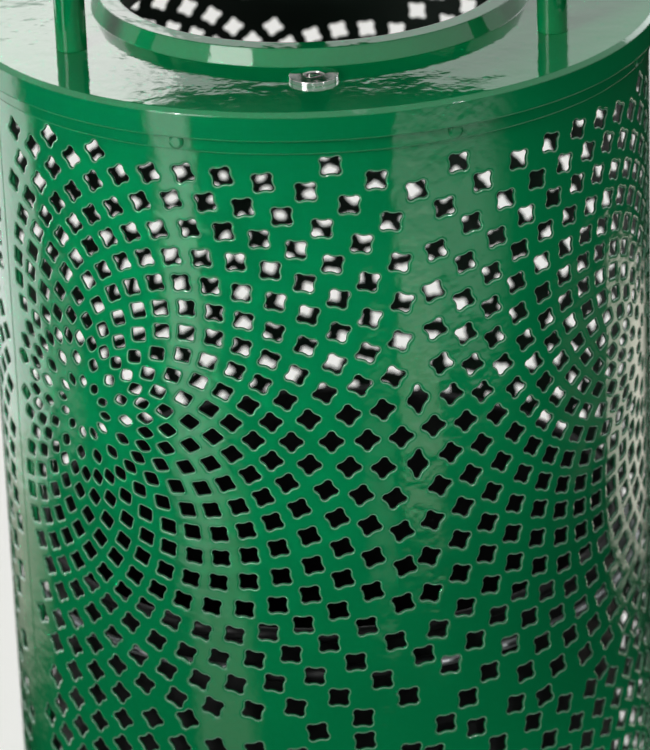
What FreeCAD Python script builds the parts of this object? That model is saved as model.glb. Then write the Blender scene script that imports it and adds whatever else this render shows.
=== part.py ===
"""Free-standing cylindrical litter bin with a perforated sheet-steel mantle.

Frame: millimetres, +Z up, origin at the centre of the base plate's underside, front towards -Y.
An angle "th" is in degrees round the Z axis, counted from the front (-Y) towards +X.
Suffixes: _ro and _ri outer and inner radius, _r radius, _pcr pitch circle radius, _t thickness,
_th angle, _low lower edge.
"""
import FreeCAD, Part
import Sketcher
import math
import os

doc = FreeCAD.newDocument("litter_bin")
V = FreeCAD.Vector

# ---------------------------------------------------------------- driving dimensions
SIZES = dict(
    # mantle and its perforation
    mantle_ro=200.0, mantle_t=1.5, mantle_z=63.0, mantle_len=760.0,
    seam_th=-66.4, seam_gap=0.8, seam_half_deg=3.6, seam_strip_t=1.5,
    row_pitch=380.0, ring_stretch=1.098, margin_low=34.0, margin_top=20.0,
    # foot
    base_ro=170.0, base_t=6.0, anchor_pcr=110.0, anchor_hole_r=6.0,
    base_drain_r=8.0, base_drain_pcr=50.0,
    plinth_ro=165.0, plinth_t=4.0, plinth_top=66.0,
    flange_ri=130.0, flange_t=5.0, floor_bolt_pcr=146.0, floor_bolt_hole_r=4.5,
    # floor
    floor_ro=195.4, floor_t=2.5, access_hole_r=16.0, drain_hole_r=6.0, drain_pcr=60.0,
    shell_bolt_pcr=184.0, shell_bolt_hole_r=3.3, pad_pcr=155.0, pad_ro=11.0, pad_len=8.0,
    plug_lip=3.0, plug_cap_t=2.0, plug_play=0.1, plug_reach=3.0,
    # bottom angle
    angle_ri=172.0, angle_t=3.0, angle_leg_t=2.6, angle_top=91.0,
    rivet_r=2.4, bottom_rivet_z=80.0,
    # top rim and lid buffers
    rim_ri=196.0, rim_ro=202.5, rim_low=806.0, rim_web_t=2.5, rim_rivet_z=811.0,
    buffer_pcr=199.2, buffer_r=3.0, buffer_len=3.3,
    # lock keeper
    keeper_len=34.0, keeper_y=-200.0, keeper_low=812.0, keeper_t=3.0, keeper_height=11.0,
    keeper_depth=16.0, keeper_leg_depth=7.0, keeper_ri=186.0,
    keeper_rivet_r=2.0, keeper_rivet_head_r=3.4, keeper_rivet_z=820.0,
    # lid
    lid_ro=207.0, lid_t=2.5, lid_low=815.0, lid_under=829.0, lip_ro=130.0,
    lip_rise=10.0, mouth_r=115.0, collar_low=820.0,
    post_pcr=160.0, post_ro=9.0, post_bore_r=4.0, post_bolt_hole_r=4.5,
    # rain cap and its bolts
    cap_ro=205.0, cap_t=2.0, cap_low=955.0, cap_skirt=12.0, cap_rise=45.0, cap_hole_play=0.3,
    post_bolt_head_r=7.0, post_bolt_head_t=4.5, post_bolt_len=22.0, post_bolt_play=0.05,
    cap_bolt_head_r=8.0, cap_bolt_head_low=981.0, cap_bolt_head_t=11.0,
    cap_bolt_low=960.0, cap_bolt_len=29.0,
    # hinge
    hinge_y=212.0, hinge_z=809.0, knuckle_r=6.0, pin_r=3.0, pin_play=0.05, pin_head_lip=1.6,
    leaf_t=3.0, leaf_low=768.0, leaf_height=36.5, leaf_half_deg=15.0,
    back_t=2.6, back_height=35.0, back_half_deg=13.0,
    lid_leaf_low=817.0, lid_leaf_height=13.0, lid_leaf_half_deg=14.0,
    hinge_bolt_r=3.0, hinge_bolt_hole_r=3.2, hinge_bolt_head_r=5.2, hinge_bolt_crown_r=3.6,
    hinge_nut_r=5.6, hinge_nut_t=5.0,
    lid_rivet_r=2.4, lid_rivet_head_r=4.0, lid_rivet_z=823.5,
    # lock
    lock_y=-150.0, lock_body_r=9.4, lock_hole_r=9.6, barrel_r=6.0, housing_low=814.0,
    housing_flange_r=14.0, housing_flange_t=2.6, lock_nut_r=15.0, lock_nut_t=4.5,
    barrel_low=811.8, barrel_len=22.0, recess_r=5.0, recess_low=829.8, recess_len=5.0,
    triangle_r=4.2, triangle_low=829.0, triangle_len=4.6,
    stub_r=3.0, stub_low=802.0, stub_len=10.0,
    cam_z=808.5, cam_t=3.0, cam_reach=42.0, cam_hub_r=9.0, cam_width=12.0, cam_bore_r=3.02,
    cam_nut_r=5.6, cam_nut_t=4.6, cam_nut_drop=4.7,
    # liner
    liner_bottom=76.7, liner_top=497.0, liner_r_low=172.0, liner_r_top=179.0,
    liner_t=3.0, bead_r=4.5, bead_inset=0.8,
    bail_axis_z=478.0, bail_r=189.5, bail_wire_r=3.0, bail_pin_r=2.6, bail_elbow_extra=0.3,
    grip_ro=5.0, grip_deg=36.0, ear_rivet_r=2.0, ear_rivet_head_r=3.2, ear_rivet_drop=6.8,
)

# Rings of places on a pitch circle: (count, first angle)
ANCHORS = (4, 45.0)
BASE_DRAINS = (4, 30.0)
FLOOR_BOLTS = (4, 15.0)
FLOOR_DRAINS = (8, 22.5)
SHELL_BOLTS = (6, 30.0)
LINER_PADS = (4, 67.5)
LID_BUFFERS = (4, 45.0)
BOTTOM_RIVETS = (12, 15.0)
RIM_RIVETS = (8, 22.5)
POSTS = (3, 60.0)

REAR_TH = 180.0
HEAD_GAP = 0.05  # between a rivet or bolt head and the face it sits on
OVER = 3.0       # how far a radial drill runs past the wall on both sides


# ---------------------------------------------------------------- driven lengths
class Dim:
    """A length that carries its number and the sheet expression that drives it."""

    def __init__(self, value, expr=None):
        self.value = float(value)
        self.expr = expr or repr(self.value)

    def _join(self, other, sign, result):
        other = as_dim(other)
        return Dim(result(self.value, other.value), "(%s %s %s)" % (self.expr, sign, other.expr))

    def __add__(self, other):
        return self._join(other, "+", lambda a, b: a + b)

    def __sub__(self, other):
        return self._join(other, "-", lambda a, b: a - b)

    def __mul__(self, other):
        return self._join(other, "*", lambda a, b: a * b)

    def __truediv__(self, other):
        return self._join(other, "/", lambda a, b: a / b)

    def __neg__(self):
        return Dim(0) - self


def as_dim(value):
    return value if isinstance(value, Dim) else Dim(value)


class Sizes:
    """The sheet's dimensions, one attribute for each alias."""


dims = Sizes()
sheet = doc.addObject("Spreadsheet::Sheet", "Dims")
for row, (alias, size) in enumerate(SIZES.items(), start=1):
    sheet.set("A%d" % row, alias)
    sheet.set("B%d" % row, repr(size))
    sheet.setAlias("B%d" % row, alias)
    setattr(dims, alias, Dim(size, "Dims." + alias))
doc.recompute()


def bind(obj, **props):
    """Set properties and tie each to its expression."""
    for name, value in props.items():
        value = as_dim(value)
        setattr(obj, name, value.value)
        obj.setExpression(name, value.expr)
    return obj


def place(obj, x=0, y=0, z=0, turn=None):
    x, y, z = as_dim(x), as_dim(y), as_dim(z)
    base = V(x.value, y.value, z.value)
    obj.Placement = FreeCAD.Placement(base, turn or FreeCAD.Rotation())
    for axis, value in (("x", x), ("y", y), ("z", z)):
        if "Dims" in value.expr:
            obj.setExpression("Placement.Base." + axis, value.expr)
    return obj


def new(kind, name):
    return doc.addObject(kind, "%s_%03d" % (name, len(doc.Objects)))


# ---------------------------------------------------------------- angles and places
TURN_X = FreeCAD.Rotation(V(0, 0, 1), V(1, 0, 0))  # local Z onto +X


def turn_z(angle):
    return FreeCAD.Rotation(V(0, 0, 1), angle)


def outward(th):
    """Rotation that points local Z radially outwards at angle th."""
    angle = math.radians(th)
    return FreeCAD.Rotation(V(0, 0, 1), V(math.sin(angle), -math.cos(angle), 0))


def polar(radius, th):
    """x and y of a point at a radius and an angle from the front."""
    radius, angle = as_dim(radius), math.radians(th)
    return (Dim(radius.value * math.sin(angle), "(%s * sin(%r deg))" % (radius.expr, th)),
            Dim(-radius.value * math.cos(angle), "(-1 * %s * cos(%r deg))" % (radius.expr, th)))


def ring_angles(ring):
    count, first = ring
    return [first + i * 360.0 / count for i in range(count)]


def ring_points(pitch_r, ring):
    return [polar(pitch_r, th) for th in ring_angles(ring)]


def span(side, inner, outer):
    """Lower and upper x of a stretch from inner to outer on the side +1 or -1."""
    return sorted((side * inner, side * outer))


# Radial fasteners: (angle, z)
KEEPER_TH = math.degrees(math.asin(9.0 / 199.0))  # rivets 9 mm either side of the middle
bottom_rivets_at = [(th, dims.bottom_rivet_z) for th in ring_angles(BOTTOM_RIVETS)]
rim_rivets_at = [(th, dims.rim_rivet_z) for th in ring_angles(RIM_RIVETS)]
keeper_rivets_at = [(th, dims.keeper_rivet_z) for th in (-KEEPER_TH, KEEPER_TH)]
lid_rivets_at = [(th, dims.lid_rivet_z) for th in (169.5, 190.5)]
hinge_bolts_at = [(170.0, 775.0), (190.0, 775.0), (176.5, 794.0), (183.5, 794.0)]


# ---------------------------------------------------------------- primitives
def cyl(name, radius, length, x=0, y=0, z=0, turn=None, angle=360.0):
    obj = bind(new("Part::Cylinder", name), Radius=radius, Height=length, Angle=angle)
    return place(obj, x, y, z, turn)


def along_x(name, radius, x0, x1, y, z):
    return cyl(name, radius, x1 - x0, x0, y, z, TURN_X)


def radial_cyl(name, radius, start, end, th, z):
    """Cylinder on a radial axis, from radius start to radius end."""
    x, y = polar(start, th)
    return cyl(name, radius, end - start, x, y, z, outward(th))


def cone(name, r_start, r_end, length, x=0, y=0, z=0, turn=None):
    obj = bind(new("Part::Cone", name), Radius1=r_start, Radius2=r_end, Height=length)
    return place(obj, x, y, z, turn)


def radial_cone(name, r_start, r_end, start, end, th, z):
    x, y = polar(start, th)
    return cone(name, r_start, r_end, end - start, x, y, z, outward(th))


def box(name, size_x, size_y, size_z, x, y, z, turn=None):
    obj = bind(new("Part::Box", name), Length=size_x, Width=size_y, Height=size_z)
    return place(obj, x, y, z, turn)


def prism(name, sides, corner_r, height, x, y, z, turn=None):
    """Regular prism with its corners at corner_r."""
    obj = new("Part::Prism", name)
    obj.Polygon = sides
    bind(obj, Circumradius=corner_r, Height=height)
    return place(obj, x, y, z, turn)


def ball(name, radius, x=0, y=0, z=0):
    return place(bind(new("Part::Sphere", name), Radius=radius), x, y, z)


def torus(name, ring_r, wire_r, z, sweep=360.0, start=0.0):
    """Torus round the Z axis; start is counted from +X."""
    obj = bind(new("Part::Torus", name), Radius1=ring_r, Radius2=wire_r)
    obj.Angle3 = sweep
    return place(obj, 0, 0, z, turn_z(start))


def cut(name, base, tool):
    obj = new("Part::Cut", name)
    obj.Base, obj.Tool = base, tool
    return obj


def fuse(name, *parts):
    obj = new("Part::MultiFuse", name)
    obj.Shapes = list(parts)
    return obj


def common(name, *parts):
    obj = new("Part::MultiCommon", name)
    obj.Shapes = list(parts)
    return obj


def group(name, parts):
    obj = new("Part::Compound", name)
    obj.Links = list(parts)
    return obj


def tube(name, outer_r, inner_r, length, z, turn=None, angle=360.0):
    outer = cyl(name + "_outer", outer_r, length, z=z, turn=turn, angle=angle)
    inner = cyl(name + "_inner", inner_r, length + 2.0, z=z - 1.0, turn=turn)
    return cut(name, outer, inner)


def curved_plate(name, outer_r, inner_r, height, z, th, half_deg):
    """Sector of a tube, half_deg to either side of angle th."""
    turn = turn_z(th - 90.0 - half_deg.value)
    return tube(name, outer_r, inner_r, height, z, turn, half_deg * 2.0)


# ---------------------------------------------------------------- sketched bodies
def origin_feature(body, role):
    return [f for f in body.Origin.OriginFeatures if f.Role == role][0]


def flat_sketch(body, plane, name):
    sketch = body.newObject("Sketcher::SketchObject", name)
    sketch.AttachmentSupport = [(origin_feature(body, plane), "")]
    sketch.MapMode = "FlatFace"
    return sketch


def constrain(sketch, size, kind, *where):
    """Add a dimensional constraint, driven by the sheet where the size is."""
    index = sketch.addConstraint(Sketcher.Constraint(kind, *where, size.value))
    if "Dims" in size.expr:
        sketch.setExpression("Constraints[%d]" % index, size.expr)


def polygon_sketch(body, plane, corners, name):
    """Closed polygon; every corner is dimensioned from the sketch origin."""
    corners = [(as_dim(u), as_dim(v)) for u, v in corners]
    sketch = flat_sketch(body, plane, name)
    count = len(corners)
    points = [V(u.value, v.value, 0) for u, v in corners]
    for i in range(count):
        sketch.addGeometry(Part.LineSegment(points[i], points[(i + 1) % count]), False)
    for i in range(count):
        sketch.addConstraint(Sketcher.Constraint("Coincident", i, 2, (i + 1) % count, 1))
    for i, (u, v) in enumerate(corners):
        constrain(sketch, u, "DistanceX", -1, 1, i, 1)
        constrain(sketch, v, "DistanceY", -1, 1, i, 1)
    sketch.Visibility = False
    return sketch


def revolved(name, profile):
    """Body turned about the Z axis from a closed profile of (radius, z) corners."""
    body = new("PartDesign::Body", name)
    sketch = polygon_sketch(body, "XZ_Plane", profile, name + "_profile")
    turned = body.newObject("PartDesign::Revolution", name + "_turn")
    turned.Profile = sketch
    turned.ReferenceAxis = (sketch, ["V_Axis"])
    turned.Angle = 360.0
    return body


def prism_x(name, outline, x0, x1):
    """Body along X from a closed outline of (y, z) corners."""
    body = new("PartDesign::Body", name)
    sketch = polygon_sketch(body, "YZ_Plane", outline, name + "_outline")
    pad = body.newObject("PartDesign::Pad", name + "_pad")
    pad.Profile = sketch
    bind(pad, Length=x1 - x0)
    doc.recompute()
    return place(body, x0 - body.Shape.BoundBox.XMin)


def bore_ring(body, name, hole_r, pitch_r, ring):
    """Pocket one hole through the plate and repeat it round the Z axis."""
    count, first = ring
    x, y = polar(pitch_r, first)
    sketch = flat_sketch(body, "XY_Plane", name + "_hole")
    circle = Part.Circle(V(x.value, y.value, 0), V(0, 0, 1), hole_r.value)
    index = sketch.addGeometry(circle, False)
    constrain(sketch, x, "DistanceX", -1, 1, index, 3)
    constrain(sketch, y, "DistanceY", -1, 1, index, 3)
    constrain(sketch, hole_r, "Radius", index)
    sketch.Visibility = False
    before = body.Shape.Volume
    pocket = body.newObject("PartDesign::Pocket", name + "_bore")
    pocket.Profile = sketch
    pocket.Type = "ThroughAll"
    pocket.Midplane = True
    doc.recompute()
    one = before - body.Shape.Volume
    if one <= 0:
        raise RuntimeError(name + ": the hole cuts nothing")
    pattern = body.newObject("PartDesign::PolarPattern", name + "_ring")
    pattern.Originals = [pocket]
    pattern.Axis = (origin_feature(body, "Z_Axis"), [""])
    pattern.Angle = 360.0
    pattern.Occurrences = count
    body.Tip = pattern
    doc.recompute()
    if abs(before - body.Shape.Volume - one * count) > 0.5:
        raise RuntimeError(name + ": the hole ring is incomplete")


def plate(name, outer_r, thick, z, holes, inner_r=None):
    """Round plate with rings of holes: (hole radius, pitch radius, ring)."""
    body = new("PartDesign::Body", name)
    sketch = flat_sketch(body, "XY_Plane", name + "_disc")
    for radius in [outer_r] + ([inner_r] if inner_r is not None else []):
        index = sketch.addGeometry(Part.Circle(V(0, 0, 0), V(0, 0, 1), radius.value), False)
        sketch.addConstraint(Sketcher.Constraint("Coincident", index, 3, -1, 1))
        constrain(sketch, radius, "Radius", index)
    pad = body.newObject("PartDesign::Pad", name + "_pad")
    pad.Profile = sketch
    bind(pad, Length=thick)
    doc.recompute()
    for i, (hole_r, pitch_r, ring) in enumerate(holes):
        bore_ring(body, "%s_%d" % (name, i), hole_r, pitch_r, ring)
    sketch.Visibility = False
    return place(body, z=z)


# ---------------------------------------------------------------- fasteners
def bolts(name, ring, pitch_r, seat_z, head_r, head_t, shank_r, shank_len):
    """Button-head bolts pointing down, heads seated at seat_z, with hexagon sockets."""
    rim_t, crown_t = head_t * 0.4, head_t * 0.6
    items = []
    for x, y in ring_points(pitch_r, ring):
        head = cyl(name + "_head", head_r, rim_t, x, y, seat_z)
        crown = cone(name + "_crown", head_r, head_r - crown_t, crown_t, x, y, seat_z + rim_t)
        socket = prism(name + "_socket", 6, shank_r * 0.62, head_t, x, y, seat_z + head_t * 0.45)
        shank = cyl(name + "_shank", shank_r, shank_len, x, y, seat_z - shank_len)
        items.append(cut(name + "_one", fuse(name + "_body", head, crown, shank), socket))
    return group(name, items)


def nut(name, corner_r, thick, bore_r, x, y, z):
    bore = cyl(name + "_bore", bore_r, thick + 2, x, y, z - 1)
    return cut(name, prism(name + "_hex", 6, corner_r, thick, x, y, z), bore)


def nuts(name, ring, pitch_r, seat_z, corner_r, thick, bore_r):
    """Hexagon nuts whose upper faces lie at seat_z."""
    return group(name, [nut(name + "_one", corner_r, thick, bore_r, x, y, seat_z - thick)
                        for x, y in ring_points(pitch_r, ring)])


def rivets(name, places, inner, outer, head=1.8, tail=1.4):
    """Radial rivets through a wall, domed outside and with a flat tail inside."""
    radius = dims.rivet_r
    dome = outer + head * 0.4
    items = []
    for th, z in places:
        items.append(fuse(
            name + "_one",
            radial_cyl(name + "_shank", radius, inner - 0.6, outer, th, z),
            radial_cyl(name + "_head", radius + 1.9, outer, dome, th, z),
            radial_cone(name + "_crown", radius + 1.9, radius + 0.6, dome, outer + head, th, z),
            radial_cyl(name + "_tail", radius + 1.1, inner - tail, inner - 0.06, th, z)))
    return group(name, items)


def radial_holes(name, radius, inner, outer, places):
    """Drills through a wall that lies between the radii inner and outer."""
    return [radial_cyl(name, radius, inner - OVER, outer + OVER, th, z) for th, z in places]


NODES = []


def node(label, obj):
    """Register a finished piece under the name of its file."""
    obj.Label = label
    NODES.append(obj)


# ---------------------------------------------------------------- shared levels and radii
floor_z = dims.plinth_top
floor_top = floor_z + dims.floor_t
mantle_ri = dims.mantle_ro - dims.mantle_t
leg_ri = mantle_ri - dims.angle_leg_t
mantle_top = dims.mantle_z + dims.mantle_len
lid_under = dims.lid_under
lid_top = lid_under + dims.lid_t

# ---------------------------------------------------------------- foot
plinth_ri = dims.plinth_ro - dims.plinth_t
flange_z = dims.plinth_top - dims.flange_t
node("base_plate", plate("base_plate", dims.base_ro, dims.base_t, 0, [
    (dims.anchor_hole_r, dims.anchor_pcr, ANCHORS),
    (dims.base_drain_r, dims.base_drain_pcr, BASE_DRAINS)]))
node("plinth_ring", tube("plinth_ring", dims.plinth_ro, plinth_ri,
                         dims.plinth_top - dims.base_t, dims.base_t))
node("plinth_flange", plate("plinth_flange", plinth_ri, dims.flange_t, flange_z, [
    (dims.floor_bolt_hole_r, dims.floor_bolt_pcr, FLOOR_BOLTS)], inner_r=dims.flange_ri))

# ---------------------------------------------------------------- floor
node("floor_plate", plate("floor_plate", dims.floor_ro, dims.floor_t, floor_z, [
    (dims.floor_bolt_hole_r, dims.floor_bolt_pcr, FLOOR_BOLTS),
    (dims.access_hole_r, dims.anchor_pcr, ANCHORS),
    (dims.drain_hole_r, dims.drain_pcr, FLOOR_DRAINS),
    (dims.shell_bolt_hole_r, dims.shell_bolt_pcr, SHELL_BOLTS)]))

# floor to plinth flange, and floor to bottom angle
node("floor_bolts", bolts("floor_bolts", FLOOR_BOLTS, dims.floor_bolt_pcr, floor_top,
                          head_r=7.0, head_t=4.4, shank_r=4.0, shank_len=16.0))
node("floor_nuts", nuts("floor_nuts", FLOOR_BOLTS, dims.floor_bolt_pcr, flange_z,
                        corner_r=7.5, thick=6.5, bore_r=4.02))
node("shell_bolts", bolts("shell_bolts", SHELL_BOLTS, dims.shell_bolt_pcr, floor_top,
                          head_r=5.25, head_t=3.3, shank_r=3.0, shank_len=13.0))
node("shell_nuts", nuts("shell_nuts", SHELL_BOLTS, dims.shell_bolt_pcr, dims.mantle_z,
                        corner_r=5.75, thick=5.0, bore_r=3.02))

# plugs in the access holes above the anchors
plugs = []
for x, y in ring_points(dims.anchor_pcr, ANCHORS):
    plug_cap = cyl("plug_cap", dims.access_hole_r + dims.plug_lip, dims.plug_cap_t,
                   x, y, floor_top)
    plug_stem = cyl("plug_stem", dims.access_hole_r - dims.plug_play,
                    dims.floor_t + dims.plug_reach, x, y, floor_z - dims.plug_reach)
    plugs.append(fuse("plug", plug_cap, plug_stem))
node("access_plugs", group("access_plugs", plugs))
node("liner_pads", group("liner_pads", [
    cyl("pad", dims.pad_ro, dims.pad_len, x, y, floor_top)
    for x, y in ring_points(dims.pad_pcr, LINER_PADS)]))

# ---------------------------------------------------------------- bottom angle
flange_top = dims.mantle_z + dims.angle_t
angle_blank = revolved("bottom_angle_profile", [
    (dims.angle_ri, dims.mantle_z), (mantle_ri, dims.mantle_z), (mantle_ri, dims.angle_top),
    (leg_ri, dims.angle_top), (leg_ri, flange_top), (dims.angle_ri, flange_top)])
angle_holes = radial_holes("angle_rivet_hole", dims.rivet_r, leg_ri, mantle_ri, bottom_rivets_at)
for x, y in ring_points(dims.shell_bolt_pcr, SHELL_BOLTS):
    angle_holes.append(cyl("angle_bolt_hole", dims.shell_bolt_hole_r, dims.angle_t + 4,
                           x, y, dims.mantle_z - 2))
node("bottom_angle", cut("bottom_angle", angle_blank, group("angle_holes", angle_holes)))

# ---------------------------------------------------------------- mantle perforation
# Radii of the rings of openings in one rosette on the unrolled sheet
RING_RADII = ([43.2, 69.8, 93.0, 114.4, 134.4, 155.0, 173.2, 191.4]
              + [210.1 + 19.0 * k for k in range(5)])
RING_STEPS = 30         # angular steps of a ring; every second one has an opening
CELLS = 3               # rosettes round the mantle, in each of the two rows
FIRST_CELL_TH = -45.0
DIAGONAL_SHARE = 0.70   # half-diagonal of an opening over its side
REAR_HALF_DEG = 17.5    # closed patch at the rear, above REAR_LOW
REAR_LOW = 758.0
DRILL_LEN = 8.0         # radial length of a cutter, centred on the outer surface


def opening_side(ring_r):
    """Nominal side of a square opening; it grows with the ring radius."""
    return 10.5 - 6.4 * math.exp(-((ring_r - 10.0) / 62.0))


def is_open(th, z, side):
    """True where an opening stays clear of the seam, both edges and the rear patch."""
    side_deg = math.degrees(side / dims.mantle_ro.value)
    if abs(th - dims.seam_th.value) < dims.seam_half_deg.value + side_deg:
        return False
    if z < dims.mantle_z.value + dims.margin_low.value + side:
        return False
    if z > mantle_top.value - dims.margin_top.value - side:
        return False
    return not (abs(abs(th) - 180.0) < REAR_HALF_DEG and z > REAR_LOW)


def openings():
    """List of (th, z, half-diagonal, direction of a diagonal in radians)."""
    radius = dims.mantle_ro.value
    pitch = dims.row_pitch.value
    half_z = pitch / 2
    half_arc = radius * math.radians(180.0 / CELLS)
    found = []
    for cell in range(CELLS):
        cell_th = FIRST_CELL_TH + 360.0 / CELLS * cell
        for cell_z in (dims.mantle_z.value + pitch * 0.5, dims.mantle_z.value + pitch * 1.5):
            for number, ring_r in enumerate(RING_RADII, start=1):
                side = opening_side(ring_r)
                for step in range(number % 2, RING_STEPS, 2):
                    direction = 2 * math.pi * (step + 0.5) / RING_STEPS
                    arc = dims.ring_stretch.value * ring_r * math.cos(direction)
                    rise = ring_r * math.sin(direction)
                    if abs(arc) > half_arc - side or abs(rise) > half_z - side:
                        continue
                    th = cell_th + math.degrees(arc / radius)
                    th = (th + 180.0) % 360.0 - 180.0
                    if is_open(th, cell_z + rise, side):
                        found.append((th, cell_z + rise, side * DIAGONAL_SHARE, direction))
    return found


def perforation_shape():
    tools = []
    for th, z, half, direction in openings():
        turns = [direction + quarter * math.pi / 2 for quarter in range(4)]
        points = [V(half * math.cos(a), 0, half * math.sin(a)) for a in turns]
        tool = Part.Face(Part.makePolygon(points + [points[0]])).extrude(V(0, DRILL_LEN, 0))
        tool.translate(V(0, -dims.mantle_ro.value - DRILL_LEN / 2, z))
        tool.rotate(V(0, 0, 0), V(0, 0, 1), th)
        tools.append(tool)
    return Part.makeCompound(tools)


# ---------------------------------------------------------------- mantle
mantle_blank = tube("mantle_blank", dims.mantle_ro, mantle_ri, dims.mantle_len, dims.mantle_z)
seam_turn = turn_z(dims.seam_th.value)
slot_at = seam_turn.multVec(V(-dims.seam_gap.value / 2, -dims.mantle_ro.value - 4,
                              dims.mantle_z.value - 2))
seam_slot = box("seam_slot", dims.seam_gap, 12, dims.mantle_len + 4,
                slot_at.x, slot_at.y, slot_at.z, seam_turn)
perforation = new("Part::Feature", "perforation_tools")
perforation.Shape = perforation_shape()
mantle_holes = []
for radius, places in ((dims.rivet_r, bottom_rivets_at), (dims.rivet_r, rim_rivets_at),
                       (dims.hinge_bolt_hole_r, hinge_bolts_at)):
    mantle_holes += radial_holes("mantle_hole", radius, mantle_ri, dims.mantle_ro, places)
node("mantle", cut("mantle", cut("mantle_open", mantle_blank, seam_slot),
                   group("mantle_cuts", mantle_holes + [perforation])))
node("bottom_rivets", rivets("bottom_rivets", bottom_rivets_at, leg_ri, dims.mantle_ro))

# strip behind the seam, between the bottom angle and the rim
node("seam_strip", curved_plate("seam_strip", mantle_ri, mantle_ri - dims.seam_strip_t,
                                dims.rim_low - dims.angle_top - 2.0, dims.angle_top + 1.0,
                                dims.seam_th.value, dims.seam_half_deg))

# ---------------------------------------------------------------- top rim
# channel that straddles the mantle's upper edge
rim_top = mantle_top + dims.rim_web_t
rim_blank = revolved("top_rim_profile", [
    (dims.mantle_ro, dims.rim_low), (dims.rim_ro, dims.rim_low), (dims.rim_ro, rim_top),
    (dims.rim_ri, rim_top), (dims.rim_ri, dims.rim_low), (mantle_ri, dims.rim_low),
    (mantle_ri, mantle_top), (dims.mantle_ro, mantle_top)])
rim_holes = radial_holes("rim_rivet_hole", dims.rivet_r, dims.rim_ri, dims.rim_ro, rim_rivets_at)
# the keeper's holes stop short of the outer leg
rim_holes += [radial_cyl("rim_keeper_hole", dims.keeper_rivet_r, dims.rim_ri - OVER, mantle_ri,
                         th, z) for th, z in keeper_rivets_at]
node("top_rim", cut("top_rim", rim_blank, group("rim_holes", rim_holes)))
node("rim_rivets", rivets("rim_rivets", rim_rivets_at, dims.rim_ri, dims.rim_ro,
                          head=1.6, tail=1.2))

# keeper: small angle bracket on the rim's inner leg at the front, shelf pointing inwards
keeper_face = dims.rim_ri - dims.keeper_t
keeper_boxes = [
    box("keeper_" + name, dims.keeper_len, depth, height,
        -dims.keeper_len / 2, dims.keeper_y, dims.keeper_low)
    for name, depth, height in (("shelf", dims.keeper_depth, dims.keeper_t),
                                ("leg", dims.keeper_leg_depth, dims.keeper_height))]
keeper_blank = common("keeper_blank", fuse("keeper_boxes", *keeper_boxes),
                      cyl("keeper_limit", dims.rim_ri, 40, z=800))
keeper_cuts = [cyl("keeper_space_up", keeper_face, 30, z=dims.keeper_low + dims.keeper_t)]
keeper_cuts += radial_holes("keeper_hole", dims.keeper_rivet_r, keeper_face, dims.rim_ri,
                            keeper_rivets_at)
keeper_open = cut("keeper_open", keeper_blank, group("keeper_cuts", keeper_cuts))
node("lock_keeper", cut("lock_keeper", keeper_open,
                        cyl("keeper_inner", dims.keeper_ri, 40, z=800)))
node("keeper_rivets", group("keeper_rivets", [
    fuse("keeper_rivet",
         radial_cyl("keeper_rivet_shank", dims.keeper_rivet_r, keeper_face - 0.6,
                    mantle_ri - HEAD_GAP, th, z),
         radial_cyl("keeper_rivet_head", dims.keeper_rivet_head_r, keeper_face - 1.6,
                    keeper_face - HEAD_GAP, th, z))
    for th, z in keeper_rivets_at]))

node("lid_buffers", group("lid_buffers", [
    cyl("buffer", dims.buffer_r, dims.buffer_len, x, y, rim_top)
    for x, y in ring_points(dims.buffer_pcr, LID_BUFFERS)]))

# ---------------------------------------------------------------- hinge, body half
# Spans along X, from the middle outwards
LUG_SPAN = (20.0, 50.0)
TAIL_SPAN = (25.0, 45.0)
LID_KNUCKLE_HALF = 19.6
PIN_HEAD_X, PIN_X0, PIN_X1 = -52.5, -50.5, 52.0
WEB_ROOT_Y = 198.0      # inside the mantle; trimmed off by leaf_clear

hinge_y, hinge_z, knuckle_r = dims.hinge_y, dims.hinge_z, dims.knuckle_r
leaf_face = dims.mantle_ro + dims.leaf_t
leaf_top = dims.leaf_low + dims.leaf_height
leaf_parts = [curved_plate("leaf_arc", leaf_face, dims.mantle_ro, dims.leaf_height,
                           dims.leaf_low, REAR_TH, dims.leaf_half_deg)]
for side in (-1, 1):
    x0, x1 = span(side, *LUG_SPAN)
    tail_x0, tail_x1 = span(side, *TAIL_SPAN)
    leaf_parts += [
        prism_x("hinge_web", [
            (WEB_ROOT_Y, 784), (206, 784), (hinge_y + knuckle_r, hinge_z - 8),
            (hinge_y + knuckle_r, hinge_z), (hinge_y - knuckle_r, hinge_z),
            (hinge_y - knuckle_r, leaf_top), (WEB_ROOT_Y, leaf_top)], x0, x1),
        along_x("body_knuckle", knuckle_r, x0, x1, hinge_y, hinge_z),
        box("stop_tail", tail_x1 - tail_x0, 16, 7.5, tail_x0, hinge_y + 1, hinge_z - knuckle_r)]
leaf_cuts = [cyl("leaf_clear", dims.mantle_ro, 60, z=750),
             along_x("body_pin_bore", dims.pin_r, -60, 60, hinge_y, hinge_z)]
leaf_cuts += radial_holes("leaf_bolt_hole", dims.hinge_bolt_hole_r, dims.mantle_ro, leaf_face,
                          hinge_bolts_at)
node("hinge_leaf_body", cut("hinge_leaf_body", fuse("leaf_body_all", *leaf_parts),
                            group("leaf_cuts", leaf_cuts)))

# backing plate inside the mantle
back_ri = mantle_ri - dims.back_t
back_arc = curved_plate("back_arc", mantle_ri, back_ri, dims.back_height, dims.leaf_low,
                        REAR_TH, dims.back_half_deg)
node("hinge_backing_plate", cut("hinge_backing_plate", back_arc, group(
    "back_holes", radial_holes("back_hole", dims.hinge_bolt_hole_r, back_ri, mantle_ri,
                               hinge_bolts_at))))

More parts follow.
